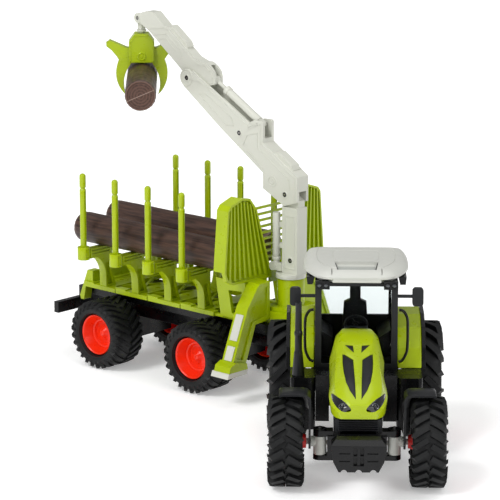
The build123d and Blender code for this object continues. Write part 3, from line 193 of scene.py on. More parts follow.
def wood_material(name, dark, light, pale, radius):
    """Brown moulded log, its axis along the object's X: grain streaks and a painted highlight on the bark's
    ridges and edges, growth rings and one crack on the sawn ends. Lengths are in metres."""
    ring_pitch, rim_width, crack_half, crack_slope = 0.0011, 0.0017, 0.00028, 0.42
    made, tree, bsdf = moulded(name, dark, 0.46, grain=700, bump=0.1)
    link = tree.links.new
    place = tree.nodes["Texture Coordinate"]

    def maths(operation, at, *values):
        made = node(tree, "ShaderNodeMath", at, operation=operation)
        for socket, value in zip(made.inputs, values):
            if isinstance(value, (int, float)):
                socket.default_value = value
            else:
                link(value, socket)
        return made.outputs[0]

    def blend_in(factor, below, above, at):
        mix = node(tree, "ShaderNodeMix", at, data_type="RGBA")
        link(factor, mix.inputs["Factor"])
        link(below, mix.inputs[6])
        mix.inputs[7].default_value = above
        return mix.outputs[2]

    stretch = node(tree, "ShaderNodeMapping", (-900, 600))
    stretch.inputs["Scale"].default_value = (0.07, 1, 1)
    link(place.outputs["Object"], stretch.inputs["Vector"])
    streak = node(tree, "ShaderNodeTexNoise", (-700, 600), Scale=520, Detail=4, Distortion=0.5)
    link(stretch.outputs["Vector"], streak.inputs["Vector"])
    bark = node(tree, "ShaderNodeValToRGB", (-450, 600))
    bark.color_ramp.elements[0].position, bark.color_ramp.elements[1].position = 0.36, 0.66
    bark.color_ramp.elements[0].color, bark.color_ramp.elements[1].color = dark, light
    link(streak.outputs["Fac"], bark.inputs["Fac"])
    # painted highlight: the bark is painted paler where the surface is convex, on its ridges and edges
    surface = node(tree, "ShaderNodeNewGeometry", (-900, 900))
    ridge_highlight = node(tree, "ShaderNodeMapRange", (-450, 900),
               **{"From Min": 0.52, "From Max": 0.6, "To Max": 0.5})
    link(surface.outputs["Pointiness"], ridge_highlight.inputs["Value"])
    colour = blend_in(ridge_highlight.outputs["Result"], bark.outputs["Color"], pale, (-100, 600))

    # the sawn ends: rings about the axis, a pale rim and a crack
    parts = node(tree, "ShaderNodeSeparateXYZ", (-900, 1300))
    link(place.outputs["Object"], parts.inputs[0])
    y, z = parts.outputs["Y"], parts.outputs["Z"]
    y_squared = maths("MULTIPLY", (-700, 1400), y, y)
    z_squared = maths("MULTIPLY", (-700, 1250), z, z)
    from_axis = maths("SQRT", (-500, 1300), maths("ADD", (-600, 1300), y_squared, z_squared))
    wobble = maths("MULTIPLY_ADD", (-350, 1300), streak.outputs["Fac"], 0.0016, from_axis)
    ring = maths("PINGPONG", (-200, 1300), wobble, ring_pitch)
    ring_share = maths("MULTIPLY", (-100, 1300), ring, 900)
    grain_ring = blend_in(ring_share, bark.outputs["Color"], shade(light, 1.5), (50, 1100))
    rim = maths("GREATER_THAN", (-200, 1500), from_axis, radius - rim_width)
    grain_ring = blend_in(rim, grain_ring, shade(light, 2.0), (200, 1100))
    slanted = maths("MULTIPLY", (-500, 1700), y, crack_slope)
    across = maths("ABSOLUTE", (-300, 1700), maths("ADD", (-400, 1700), slanted, z))
    crack = maths("LESS_THAN", (-200, 1700), across, crack_half)
    grain_ring = blend_in(crack, grain_ring, pale, (350, 1100))
    facing = node(tree, "ShaderNodeSeparateXYZ", (-900, 1900))
    link(place.outputs["Normal"], facing.inputs[0])
    is_end = maths("GREATER_THAN", (-400, 1900), maths("ABSOLUTE", (-600, 1900), facing.outputs["X"]), 0.8)
    finish = node(tree, "ShaderNodeMix", (500, 900), data_type="RGBA")
    link(is_end, finish.inputs["Factor"])
    link(colour, finish.inputs[6])
    link(grain_ring, finish.inputs[7])
    link(finish.outputs[2], bsdf.inputs["Base Color"])
    groove = node(tree, "ShaderNodeBump", (200, -600), Strength=0.4, Distance=0.0006)
    link(streak.outputs["Fac"], groove.inputs["Height"])
    link(tree.nodes["Bump"].outputs["Normal"], groove.inputs["Normal"])
    link(groove.outputs["Normal"], bsdf.inputs["Normal"])
    return made


LOG_RADIUS = (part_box("held_log")[1][2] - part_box("held_log")[0][2]) / 2
MATERIALS["window"] = window_material()
MATERIALS["log_plastic"] = wood_material("log_plastic", srgb(43, 27, 22), srgb(80, 56, 46),
                                         srgb(150, 128, 116), LOG_RADIUS)


# ---------------------------------------------------------------- meshes
EDGE_ANGLE = radians(35)  # edges sharper than this are rounded


def piece(name, mesh, slot, body, *stands_for, smooth=35, bevel=0.0, at=None):
    """A finished mesh object that rides on a body, and stands for these CAD nodes."""
    made = bpy.data.objects.new(name, mesh)
    if at:
        made.matrix_world = at
    bpy.context.scene.collection.objects.link(made)
    if not mesh.materials:
        mesh.materials.append(MATERIALS[slot])
    mesh.polygons.foreach_set("use_smooth", [True] * len(mesh.polygons))
    mesh.set_sharp_from_angle(angle=radians(smooth))
    if bevel:
        rounding = made.modifiers.new("rounding", "BEVEL")
        rounding.width, rounding.segments, rounding.limit_method = bevel * MM, 2, "ANGLE"
        rounding.angle_limit, rounding.harden_normals = EDGE_ANGLE, True
    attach(made, body)
    if stands_for:
        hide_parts(*stands_for)
    return made


def lathe(bm, base, x, y, z, axis, profile, steps=40):
    """A turned solid in a frame: its own X along axis, its profile (x, radius) closed by itself."""
    turn = Vector(axis).to_track_quat("X", "Z").to_matrix().to_4x4()
    revolve(bm, base @ Matrix.Translation((x, y, z)) @ turn, profile, steps=steps)


def block(bm, base, low, high):
    """A box between two corners."""
    made = bmesh.ops.create_cube(bm, size=1)["verts"]
    size = [high[i] - low[i] for i in range(3)]
    middle = [(high[i] + low[i]) / 2 for i in range(3)]
    bmesh.ops.transform(bm, verts=made, matrix=base @ Matrix.Translation(middle) @ Matrix.Diagonal((*size, 1)))


def prism(bm, base, outline, low, high):
    """A closed outline in the frame's XY, raised from low to high along its Z."""
    ribbon(bm, base, [[(x, y, z) for x, y in outline] for z in (low, high)])


def mesh_from(bm, name, place):
    """The bmesh, drawn in millimetres in a local frame, as a mesh in metres in the row frame."""
    bmesh.ops.recalc_face_normals(bm, faces=bm.faces)
    bm.transform(place)
    mesh = bpy.data.meshes.new(name)
    bm.to_mesh(mesh)
    bm.free()
    return mesh


def revolve(bm, place, profile, steps=72, closed=False):
    """A lathe about local X of (x, radius) points."""
    rings = []
    for k in range(steps):
        turn = tau * k / steps
        rings.append([bm.verts.new(place @ Vector((x, r * cos(turn), r * sin(turn)))) for x, r in profile])
    spans = len(profile) if closed else len(profile) - 1
    for k in range(steps):
        here, after = rings[k], rings[(k + 1) % steps]
        for i in range(spans):
            j = (i + 1) % len(profile)
            bm.faces.new((here[i], here[j], after[j], after[i]))
    if not closed:
        for end in (0, -1):
            if profile[end][1] > 0.01:
                bm.faces.new([ring[end] for ring in rings])
    return rings


def ribbon(bm, place, stations):
    """A closed bar through stations, each a loop of points with the same count."""
    loops = [[bm.verts.new(place @ Vector(p)) for p in loop] for loop in stations]
    count = len(loops[0])
    for here, after in zip(loops, loops[1:]):
        for i in range(count):
            j = (i + 1) % count
            bm.faces.new((here[i], here[j], after[j], after[i]))
    bm.faces.new(loops[0])
    bm.faces.new(loops[-1])


# ---------------------------------------------------------------- tyres
def tyre_profile(half, bead, tread):
    """The carcass's section (x, radius): a flat-topped bulge, open at the bead."""
    middle, rise, steps = (bead + tread) / 2, (tread - bead) / 2, 30
    start, sweep = radians(-62), radians(304)
    points = []
    for i in range(steps + 1):
        t = start + sweep * i / steps
        c, s = cos(t), sin(t)
        x = half * (abs(c) ** 0.62) * (1 if c >= 0 else -1)
        r = middle + rise * (abs(s) ** 0.55) * (1 if s >= 0 else -1)
        points.append((x, max(r, bead)))
    return points


def lug(bm, place, path, width, r_foot, r_top, lean=0.75):
    """A tread bar along (x, turn, drop) points, narrower at its top."""
    stations = []
    for k, (x, turn, drop) in enumerate(path):
        ahead = path[min(k + 1, len(path) - 1)]
        behind = path[max(k - 1, 0)]
        dx, da = ahead[0] - behind[0], (ahead[1] - behind[1]) * r_top
        length = hypot(dx, da)
        side_x, side_a = -da / length, dx / length
        loop = []
        for r, half in ((r_foot - drop * 1.6, width / 2), (r_top - drop, lean * width / 2)):
            for sign in ((-1, 1) if r < r_top - drop else (1, -1)):
                angle = turn + sign * half * side_a / r_top
                loop.append((x + sign * half * side_x, r * cos(angle), r * sin(angle)))
        stations.append(loop)
    ribbon(bm, place, stations)


def lugged_tyre(bm, place, half, bead, r_out, depth, pitch_count, sweep, width, outward, tip=0.9):
    """A tyre with chevron bars that start alternately at either shoulder."""
    tread, round_steps, steps = r_out - depth, 96, 7
    revolve(bm, place, tyre_profile(half, bead, tread), steps=round_steps, closed=True)
    for k in range(pitch_count):
        for side in (-1, 1):
            start = tau * (k + (0.5 if side == 1 else 0)) / pitch_count
            path = []
            for i in range(steps + 1):
                f = i / steps
                x = side * half * (0.985 - 0.985 * tip * f)
                drop = depth * 1.5 * max(0, 1 - f / 0.2) ** 2
                path.append((x, start + outward * sweep * f ** 0.9, drop))
            lug(bm, place, path, width, tread - 0.8, r_out)
    for side in (-1, 1):  # raised ring on each sidewall
        r, x = bead + 0.2 * (tread - bead), side * half * 0.93
        inner, outer = x - side * 0.8, x + side * 0.45
        section = [(inner, r - 0.8), (outer, r - 0.4), (outer, r + 0.4), (inner, r + 0.8)]
        revolve(bm, place, section, steps=round_steps, closed=True)


AXLE_Y = Matrix.Rotation(radians(90), 4, "Z")  # local X along the frame's Y
FLIP = Matrix.Rotation(pi, 4, "Z")
HERE = Matrix.Identity(4)


def box_in(node_name, base):
    """(middle, size) of a CAD node in a frame, in millimetres."""
    inside = base.inverted()
    corners = [inside @ v.co for v in frame["nodes"][node_name].data.vertices]
    low = Vector(min(c[i] for c in corners) for i in range(3))
    high = Vector(max(c[i] for c in corners) for i in range(3))
    return (low + high) / 2, high - low


# bead radius, half width, lug depth, lugs in one row, sweep of a lug in radians, lug width
FRONT_TREAD = (17.5, 11.3, 2.3, 23, 0.21, 4.6)
REAR_TREAD = (24.0, 12.8, 3.4, 19, 0.3, 5.4)
TRAILER_TREAD = (16.0, 14.75, 1.6, 26, 0.34, 3.3)


def rim_profile(half, bead, dish):
    """A rim's closed section (x outwards, radius): stepped dish, lip, barrel and hub.

    The shares are of the tyre's half width and of the bead radius. Only the dish is set back."""
    dish_points = 8
    share = [(0.46, 0.02), (0.44, 0.13), (0.30, 0.24), (0.22, 0.34), (0.20, 0.56), (0.30, 0.60), (0.34, 0.62),
             (0.36, 0.70), (0.42, 0.73), (0.68, 0.88), (0.75, 0.90), (0.80, 0.93), (0.82, 0.97), (0.78, 1.0),
             (-0.74, 1.0), (-0.8, 0.96), (-0.76, 0.9), (0.02, 0.82), (0.06, 0.5), (-0.1, 0.3), (-0.72, 0.26),
             (-0.74, 0.02)]
    return [(x * half - (dish if i < dish_points else 0), r * bead) for i, (x, r) in enumerate(share)]


def bolts(bm, place, half, bead, count=6):
    """Nuts in a ring on the dish."""
    ring = 0.45 * bead
    for k in range(count):
        turn = tau * k / count
        spot = Matrix.Translation((0.2 * half, ring * cos(turn), ring * sin(turn)))
        revolve(bm, place @ spot, [(0, 0.1), (0, 0.9), (0.9, 0.8), (1.1, 0.1)], steps=6)


def add_wheels():
    """Tyres and rims of the tractor and the trailer, in place of the plainer CAD ones."""
    front_dish, rear_dish, trailer_dish = 2.0, 2.4, 0.6
    for side, sign in (("right", -1), ("left", 1)):
        bead, half, depth, count, sweep, width = FRONT_TREAD
        middle, size = box_in(f"front_tyre_{side}", TRACTOR)
        at = Matrix.Translation(middle)
        bm = bmesh.new()
        lugged_tyre(bm, at, half, bead, size.z / 2, depth, count, sweep, width, -1)
        piece(f"front_tread_{side}", mesh_from(bm, f"front_tread_{side}", TRACTOR), "tyre",
              f"front_wheel_{side}", f"front_tyre_{side}", smooth=40)
        bm = bmesh.new()
        facing = at @ (HERE if sign == 1 else FLIP)
        revolve(bm, facing, rim_profile(half, bead, front_dish), closed=True)
        bolts(bm, facing @ Matrix.Translation((-front_dish, 0, 0)), half, bead)
        revolve(bm, facing, [(-13.6, 0.1), (-13.6, 4.6), (-8, 5.4), (-6, 0.1)])
        piece(f"front_dish_{side}", mesh_from(bm, f"front_dish_{side}", TRACTOR), "red_plastic",
              f"front_wheel_{side}", f"front_rim_{side}")
    bead, half, depth, count, sweep, width = REAR_TREAD
    middle, size = box_in("rear_tyres", TRACTOR)
    out = size.x / 2 - half
    treads, dishes = bmesh.new(), bmesh.new()
    for sign in (-1, 1):
        at = Matrix.Translation((middle.x + sign * out, middle.y, middle.z))
        lugged_tyre(treads, at, half, bead, size.z / 2, depth, count, sweep, width, -1)
        facing = at @ (HERE if sign == 1 else FLIP)
        revolve(dishes, facing, rim_profile(half, bead, rear_dish), closed=True)
        bolts(dishes, facing @ Matrix.Translation((-rear_dish, 0, 0)), half, bead, 8)
    piece("rear_treads", mesh_from(treads, "rear_treads", TRACTOR), "tyre",
          "rear_wheels", "rear_tyres", smooth=40)
    piece("rear_dishes", mesh_from(dishes, "rear_dishes", TRACTOR), "red_plastic",
          "rear_wheels", "rear_rims")
    bead, half, depth, count, sweep, width = TRAILER_TREAD
    for which in ("front", "rear"):
        middle, size = box_in(f"trailer_tyres_{which}", TRAILER)
        out = size.y / 2 - half
        treads, dishes = bmesh.new(), bmesh.new()
        for sign in (-1, 1):
            at = Matrix.Translation((middle.x, middle.y + sign * out, middle.z)) @ AXLE_Y
            lugged_tyre(treads, at, half, bead, size.z / 2, depth, count, sweep, width, 1)
            facing = at @ (HERE if sign == 1 else FLIP)
            revolve(dishes, facing, rim_profile(half, bead, trailer_dish), closed=True)
        axle = [(-out, 0.1), (-out, 2.5), (out, 2.5), (out, 0.1)]
        revolve(dishes, Matrix.Translation(middle) @ AXLE_Y, axle)
        piece(f"trailer_treads_{which}", mesh_from(treads, f"trailer_treads_{which}", TRAILER), "tyre",
              f"trailer_{which}_wheels", f"trailer_tyres_{which}", smooth=40)
        piece(f"trailer_dishes_{which}", mesh_from(dishes, f"trailer_dishes_{which}", TRAILER),
              "orange_plastic", f"trailer_{which}_wheels", f"trailer_rims_{which}")


add_wheels()


# ---------------------------------------------------------------- logs
def add_log(name, node_name, body, base, along, seed):
    """A trunk with moulded bark ridges and knots, built along its own X."""
    middle, size = box_in(node_name, base)
    length, radius = (size.x if along == "X" else size.y), LOG_RADIUS / MM
    rows, steps, knot_radius, knot_count = 110, 72, 3.4, 7
    knots = [(Random(seed * 7 + k).uniform(-0.4, 0.4) * length, Random(seed * 5 + k).uniform(0, tau))
             for k in range(knot_count)]
    end_cut = {0: 0.9, 1: 0.25}  # how far the first two rows from either end are drawn in
    bm = bmesh.new()
    rings = []
    for i in range(rows + 1):
        x = length * (i / rows - 0.5)
        near_end = min(i, rows - i)
        ring = []
        for k in range(steps):
            turn = tau * k / steps
            ridge = perlin(Vector((x * 0.035 + seed * 9, 5.2 * cos(turn), 5.2 * sin(turn))))
            fine = perlin(Vector((x * 0.09 + seed * 3, 13 * cos(turn), 13 * sin(turn))))
            r = radius - 0.3 + 0.24 * ridge + 0.14 * fine
            for knot_x, knot_turn in knots:
                gap = hypot((x - knot_x) / 1.7, ((turn - knot_turn + pi) % tau - pi) * radius)
                if gap < knot_radius * 1.6:
                    r += 0.34 * cos(gap / knot_radius * 4.2) * (1 - gap / knot_radius / 1.6)
            r = min(r, radius) - end_cut.get(near_end, 0)
            ring.append(bm.verts.new((x, r * cos(turn), r * sin(turn))))
        rings.append(ring)
    for here, after in zip(rings, rings[1:]):
        for k in range(steps):
            m = (k + 1) % steps
            bm.faces.new((here[k], here[m], after[m], after[k]))
    for ring, way in ((rings[0], 1), (rings[-1], -1)):
        last = ring
        for share, inwards in ((0.9, 0.0), (0.86, 0.5), (0.5, 0.4), (0.12, 0.45)):
            inner = [bm.verts.new((v.co.x + way * inwards, v.co.y * share, v.co.z * share)) for v in ring]
            for k in range(steps):
                m = (k + 1) % steps
                bm.faces.new((last[k], last[m], inner[m], inner[k]))
            last = inner
        bm.faces.new(last)
    turned = HERE if along == "X" else AXLE_Y
    mesh = mesh_from(bm, name, Matrix.Scale(MM, 4))
    place = base @ Matrix.Translation(middle) @ turned @ Matrix.Scale(1 / MM, 4)
    piece(name, mesh, "log_plastic", body, node_name, smooth=50, at=place)


add_log("log_near", "cargo_log_near", "cargo_near", TRAILER, "X", 1)
add_log("log_far", "cargo_log_far", "cargo_far", TRAILER, "X", 2)
add_log("log_held", "held_log", "held_log", GRAPPLE, "Y", 3)


# ---------------------------------------------------------------- crane details
def in_trailer(joint):
    """A joint's place (x, z) in the trailer's frame."""
    spot = TRAILER.inverted() @ pivot(joint)
    return spot.x, spot.z


ROOT, ELBOW = in_trailer("boom_lift"), in_trailer("jib_fold")
BOOM_SCREW, JIB_SCREW, COLUMN_SCREW = (58, 195), (-50.6, 271.7), (109, 104)
BOOM_HALF, JIB_HALF, COLUMN_HALF, GRAPPLE_HALF = 6.2, 4.3, 5.5, 7.6  # to the side faces
UPRIGHT = Matrix(((1, 0, 0, 0), (0, 0, -1, 0), (0, 1, 0, 0), (0, 0, 0, 1)))  # XY outline drawn as (x, z)


def side_plate(bm, outline, half, thick):
    """The same raised panel on both side faces of the crane."""
    for sign in (-1, 1):
        low, high = sorted((sign * (half - 0.2), sign * (half + thick)))
        prism(bm, UPRIGHT, outline, -high, -low)


def disc(bm, x, z, y, profile, steps=32):
    """A turned detail on a side face: its own X points outwards along Y."""
    lathe(bm, HERE, x, y, z, (0, 1 if y > 0 else -1, 0), profile, steps)


def collar(bm, x, z, half, radius=1.5):
    """Round collar of a screw pocket, on both faces."""
    profile = [(-0.3, radius), (0.35, radius), (0.45, radius + 0.3), (0.35, radius + 0.9),
               (-0.3, radius + 1.1)]
    for sign in (-1, 1):
        disc(bm, x, z, sign * half, profile)


def screw_heads(bm, x, z, half, radius=1.5):
    """A domed screw head with a dimple, on both faces."""
    profile = [(-0.6, 0.05), (0.05, 0.05), (0.1, 0.35), (0.22, 0.4), (0.2, radius * 0.7),
               (-0.1, radius * 0.86), (-0.6, radius * 0.86)]
    for sign in (-1, 1):
        disc(bm, x, z, sign * half, profile, 24)


def ringed(bm, x, z, half, radii, height=0.35):
    """Raised rings about a pin, on both faces."""
    for sign in (-1, 1):
        for r in radii:
            section = [(-0.2, r - 0.35), (height, r - 0.25), (height, r + 0.25), (-0.2, r + 0.35)]
            disc(bm, x, z, sign * half, section)


def bar(a, b, width):
    """The outline of a straight bar from a to b, with square ends half a width past them."""
    way = Vector((b[0] - a[0], b[1] - a[1])).normalized() * width / 2
    return [(a[0] - way.x + way.y, a[1] - way.y - way.x), (b[0] + way.x + way.y, b[1] + way.y - way.x),
            (b[0] + way.x - way.y, b[1] + way.y + way.x), (a[0] - way.x - way.y, a[1] - way.y + way.x)]


def strip(bm, points, half, width=0.9, height=0.4, closed=False):
    """A raised line along points (x, z) on both side faces."""
    ends = points[1:] + points[:1] if closed else points[1:]
    for a, b in zip(points, ends):
        side_plate(bm, bar(a, b, width), half, height)


def pocket_shade_discs(bm, x, z, half, radius=1.7):
    """Painted shade: a dark grey disc round a screw head stands for the shade in its recess, on both faces."""
    for sign in (-1, 1):
        disc(bm, x, z, sign * half, [(-0.3, 0.05), (0.12, 0.05), (0.12, radius), (-0.3, radius)])


def add_boom_panels():
    bm = bmesh.new()
    strip(bm, [(15, 231.2), (27, 224.6), (67.6, 200.8), (72.6, 203.4), (79.8, 203.6), (79.8, 189.2),
               (113.8, 167.4), (114, 151)], BOOM_HALF)
    strip(bm, [(17, 220), (23.5, 220.6), (50, 205.4), (52, 200), (45, 199.6), (22, 215.4)],
          BOOM_HALF, 0.8, 0.35, True)
    strip(bm, [(62, 186.4), (66, 194.6), (76.4, 197), (76.4, 186), (108, 165.6), (109.4, 158)],
          BOOM_HALF, 0.8, 0.35)
    strip(bm, [(64, 183.6), (82, 171), (84, 166)], BOOM_HALF, 0.7, 0.3)
    for spot, radius in ((ROOT, 1.9), (BOOM_SCREW, 1.8), (ELBOW, 1.9)):
        collar(bm, *spot, BOOM_HALF, radius)
    ringed(bm, 91.7, 162.5, BOOM_HALF, (3.8, 1.8))
    ringed(bm, *ELBOW, BOOM_HALF, (6.2,))
    piece("boom_panels", mesh_from(bm, "boom_panels", TRAILER), "white_plastic", "boom", bevel=0.12)


def add_jib_panels():
    bm = bmesh.new()
    strip(bm, [(-39, 264.6), (-22.4, 266.8), (-17.6, 265.6), (-1, 252.4), (8, 245.6)], JIB_HALF)
    strip(bm, [(-32, 260.4), (-19.8, 262.4), (-5.6, 251.2), (-3, 245)], JIB_HALF, 0.8, 0.35)
    strip(bm, [(-27, 257.6), (-20.4, 258.8), (-9.6, 250)], JIB_HALF, 0.8, 0.35)
    strip(bm, [(8, 245.6), (14, 242.2), (21, 241.6), (26.6, 238), (29.4, 233), (29.2, 229.6)],
          JIB_HALF, 0.8, 0.35)
    collar(bm, *JIB_SCREW, JIB_HALF, 1.5)
    piece("jib_panels", mesh_from(bm, "jib_panels", TRAILER), "white_plastic", "jib", bevel=0.12)


def add_column_panels():
    bm = bmesh.new()
    strip(bm, [(102.8, 98), (113.6, 98), (112.8, 138), (104.6, 138)], COLUMN_HALF, 0.8, 0.35, True)
    collar(bm, *COLUMN_SCREW, COLUMN_HALF, 1.9)
    piece("column_panels", mesh_from(bm, "column_panels", TRAILER), "white_plastic", "crane", bevel=0.12)


def add_screws(name, body, spots, half, pocket_radius):
    """Painted shade of the screw pockets as dark grey discs, with steel heads on them, on both faces of one
    part of the crane.
    """
    dark, heads = bmesh.new(), bmesh.new()
    for spot in spots:
        pocket_shade_discs(dark, *spot, half, pocket_radius)
        screw_heads(heads, *spot, half + 0.16, 1.2)
    # dark grey discs: painted shade in the screw pockets
    piece(f"{name}_pockets", mesh_from(dark, f"{name}_pockets", TRAILER), "dark_grey_plastic", body)
    piece(f"{name}_screws", mesh_from(heads, f"{name}_screws", TRAILER), "steel", body)


def add_grapple_trim():
    """Ring bolt and edge frame on the grapple's two plates."""
    bolt = [(-0.3, 3.4), (0.6, 3.4), (0.9, 3.0), (0.9, 2.5), (0.3, 2.3), (0.3, 1.3), (0.9, 1.1), (0.9, 0.1)]
    corners = [(-8.8, 238.2), (8.8, 238.2), (8.8, 253.0), (4.9, 258.4), (-4.9, 258.4), (-8.8, 253.0)]
    bm = bmesh.new()
    for sign in (-1, 1):
        disc(bm, 0, 242.2, sign * GRAPPLE_HALF, bolt)
        low, high = sorted((sign * (GRAPPLE_HALF - 0.2), sign * (GRAPPLE_HALF + 0.5)))
        for a, b in zip(corners, corners[1:] + corners[:1]):
            prism(bm, UPRIGHT, bar(a, b, 0.9), -high, -low)
    piece("grapple_trim", mesh_from(bm, "grapple_trim", GRAPPLE), "lime_plastic", "grapple", bevel=0.15)


add_boom_panels()
add_jib_panels()
add_column_panels()
add_screws("boom", "boom", (ROOT, ELBOW, BOOM_SCREW), BOOM_HALF, 1.8)
add_screws("column", "crane", (COLUMN_SCREW,), COLUMN_HALF, 1.8)
add_screws("jib", "jib", (JIB_SCREW,), JIB_HALF, 1.4)
add_grapple_trim()


# ---------------------------------------------------------------- tractor details
def surface_point(node_name, origin, direction):
    """Where a ray in the tractor's frame meets a CAD node: (point, normal) in that frame."""
    cad = frame["nodes"][node_name]
    tree = BVHTree.FromPolygons([v.co for v in cad.data.vertices], [p.vertices for p in cad.data.polygons])
    turn = TRACTOR.to_3x3()
    hit, normal, _, _ = tree.ray_cast(TRACTOR @ Vector(origin), (turn @ Vector(direction)).normalized())
    if hit is None:
        return Vector(origin), Vector((0, -1, 0))
    return TRACTOR.inverted() @ hit, (turn.inverted() @ normal).normalized()


def add_headlamps():
    """Two rings and a lens on each lamp, turned from its surface towards the front."""
    lamp_x, lamp_z, ahead = 10.8, 68.5, -200
    bezel = [(-1.2, 2.3), (0.25, 2.25), (0.5, 2.0), (0.3, 1.75), (-0.6, 1.7)]
    glass = [(-0.8, 1.7), (-0.2, 1.65), (0.15, 1.2), (0.3, 0.6), (0.34, 0.05)]
    bulb_ring = [(0.25, 0.75), (0.45, 0.7), (0.45, 0.5), (0.25, 0.45)]
    rings, lenses = bmesh.new(), bmesh.new()
    for sign in (-1, 1):
        at, normal = surface_point("headlights", (sign * lamp_x, ahead, lamp_z), (0, 1, 0))
        if normal.y > 0:
            normal = -normal
        normal = (normal + Vector((0, -1.2, 0))).normalized()
        lathe(rings, HERE, *at, normal, bezel, 40)
        lathe(lenses, HERE, *at, normal, glass, 40)
        lathe(rings, HERE, *at, normal, bulb_ring, 24)
    piece("lamp_rings", mesh_from(rings, "lamp_rings", TRACTOR), "lens", "tractor")
    piece("lamp_lenses", mesh_from(lenses, "lamp_lenses", TRACTOR), "lamp", "tractor")


def between(a, b, c, d, t):
    """The point a share t of the way from b to c, on a Catmull-Rom curve through all four."""
    return 0.5 * (2 * b + (c - a) * t + (2 * a - 5 * b + 4 * c - d) * t ** 2
                  + (3 * b - a - 3 * c + d) * t ** 3)


def smooth_outline(points, per_side=8):
    """A closed Catmull-Rom curve through the points."""
    count, made = len(points), []
    for i in range(count):
        a, b, c, d = (Vector(points[(i + k) % count]) for k in (-1, 0, 1, 2))
        made += [between(a, b, c, d, step / per_side) for step in range(per_side)]
    return made


def carve(target, cutters):
    """The target mesh object less each cutter, with the modifiers applied."""
    for cutter in cutters:
        cut = target.modifiers.new("cut", "BOOLEAN")
        cut.operation, cut.object, cut.solver = "DIFFERENCE", cutter, "EXACT"
    bpy.context.view_layer.update()
    graph = bpy.context.evaluated_depsgraph_get()
    mesh = bpy.data.meshes.new_from_object(target.evaluated_get(graph))
    target.modifiers.clear()
    target.data = mesh
    for cutter in cutters:
        bpy.data.objects.remove(cutter)
    return target


def loose(name, bm, base):
    """A plain object for the boolean cuts."""
    made = bpy.data.objects.new(name, mesh_from(bm, name, base))
    bpy.context.scene.collection.objects.link(made)
    return made


def roof_shell(middle, size):
    """The uncut dome: one outline, drawn in level by level."""
    low_z, top_z = middle.z - size.z / 2, middle.z + size.z / 2
    front_y, back_y, half = middle.y - size.y / 2, middle.y + size.y / 2, size.x / 2
    # shares of the half width and of the depth from the back
    side = [(0.3, 1.0), (0.56, 0.99), (0.74, 0.93), (0.9, 0.78), (0.985, 0.62), (1.0, 0.44), (0.985, 0.22),
            (0.95, 0.08), (0.87, 0.01), (0.45, 0.0)]
    points = [(x * half, back_y + (front_y - back_y) * y) for x, y in side]
    outline = smooth_outline(points + [(-x, y) for x, y in reversed(points)])
    centre = Vector((0, middle.y))
    # how far the outline is drawn in to the centre, and the share of the height
    levels = [(0.10, 0.0), (0.10, 0.19), (0.03, 0.19), (0.0, 0.28), (0.0, 0.42), (0.03, 0.58), (0.08, 0.73),
              (0.16, 0.84), (0.235, 0.895), (0.24, 0.865), (0.258, 0.865), (0.263, 0.905), (0.42, 0.96),
              (0.54, 0.975), (0.545, 0.95), (0.56, 0.95), (0.565, 0.98), (0.7, 0.99), (0.9, 1.0)]
    bm = bmesh.new()
    rings = []
    for inset, share in levels:
        z = low_z + (top_z - low_z) * share
        rings.append([bm.verts.new((*(p.lerp(centre, inset)), z)) for p in outline])
    count = len(outline)
    for here, after in zip(rings, rings[1:]):
        for k in range(count):
            m = (k + 1) % count
            bm.faces.new((here[k], here[m], after[m], after[k]))
    bm.faces.new(rings[0])
    bm.faces.new(rings[-1])
    return loose("roof_shell", bm, TRACTOR)


def add_roof():
    """Domed roof with a visor, a sunk skylight and two short grooves at the front."""
    middle, size = box_in("roof", TRACTOR)
    low_z, top_z, front_y = middle.z - size.z / 2, middle.z + size.z / 2, middle.y - size.y / 2
    groove_x, groove_half, clear = 17.2, 0.3, 3
    shell = roof_shell(middle, size)
    bm = bmesh.new()
    ribbon(bm, HERE, [[(sign * 13.5, front_y + 6.5, top_z - 3.6), (sign * 15.4, front_y + 25, top_z - 2.4),
                       (sign * 15.4, front_y + 25, top_z + clear), (sign * 13.5, front_y + 6.5, top_z + clear)]
                      for sign in (-1, 1)])
    skylight = loose("skylight_cutter", bm, TRACTOR)
    bm = bmesh.new()
    for sign in (-1, 1):
        block(bm, HERE, (sign * groove_x - groove_half, front_y - 2, top_z - 4.2),
              (sign * groove_x + groove_half, front_y + 9, top_z + clear))
    grooves = loose("groove_cutter", bm, TRACTOR)
    carved = carve(shell, [skylight, grooves])
    mesh = carved.data
    bpy.data.objects.remove(carved)
    mesh.materials.clear()
    piece("roof_dome", mesh, "light_grey_plastic", "tractor", "roof", smooth=38, bevel=0.35)
    bm = bmesh.new()
    ribbon(bm, HERE, [[(x, front_y, low_z + 0.2), (x, front_y + 0.4, low_z + 3.8),
                       (x * 0.94, front_y + 6, low_z + 5.6), (x * 0.94, front_y + 12, low_z + 0.2)]
                      for x in (-17.0, 17.0)])
    piece("roof_visor", mesh_from(bm, "roof_visor", TRACTOR), "light_grey_plastic", "tractor", bevel=0.8)
    bm = bmesh.new()
    block(bm, HERE, (-13, front_y + 9.5, top_z - 3.3), (13, front_y + 23.6, top_z - 2.7))
    piece("skylight_pane", mesh_from(bm, "skylight_pane", TRACTOR), "smoke", "tractor", bevel=0.2)
    # painted shade: dark grey strips along the skylight recess's side walls stand for the shade on them
    bm = bmesh.new()
    ends = ((13.2, front_y + 8, top_z - 3.4), (14.7, front_y + 23.5, top_z - 2.4))
    for sign in (-1, 1):
        ribbon(bm, HERE, [[(sign * (x - 0.45), y, z), (sign * (x + 0.45), y, z),
                           (sign * (x + 0.45), y, z + 1.3), (sign * (x - 0.45), y, z + 1.3)]
                          for x, y, z in ends])
    piece("skylight_painted_shade", mesh_from(bm, "skylight_painted_shade", TRACTOR), "dark_grey_plastic", "tractor")


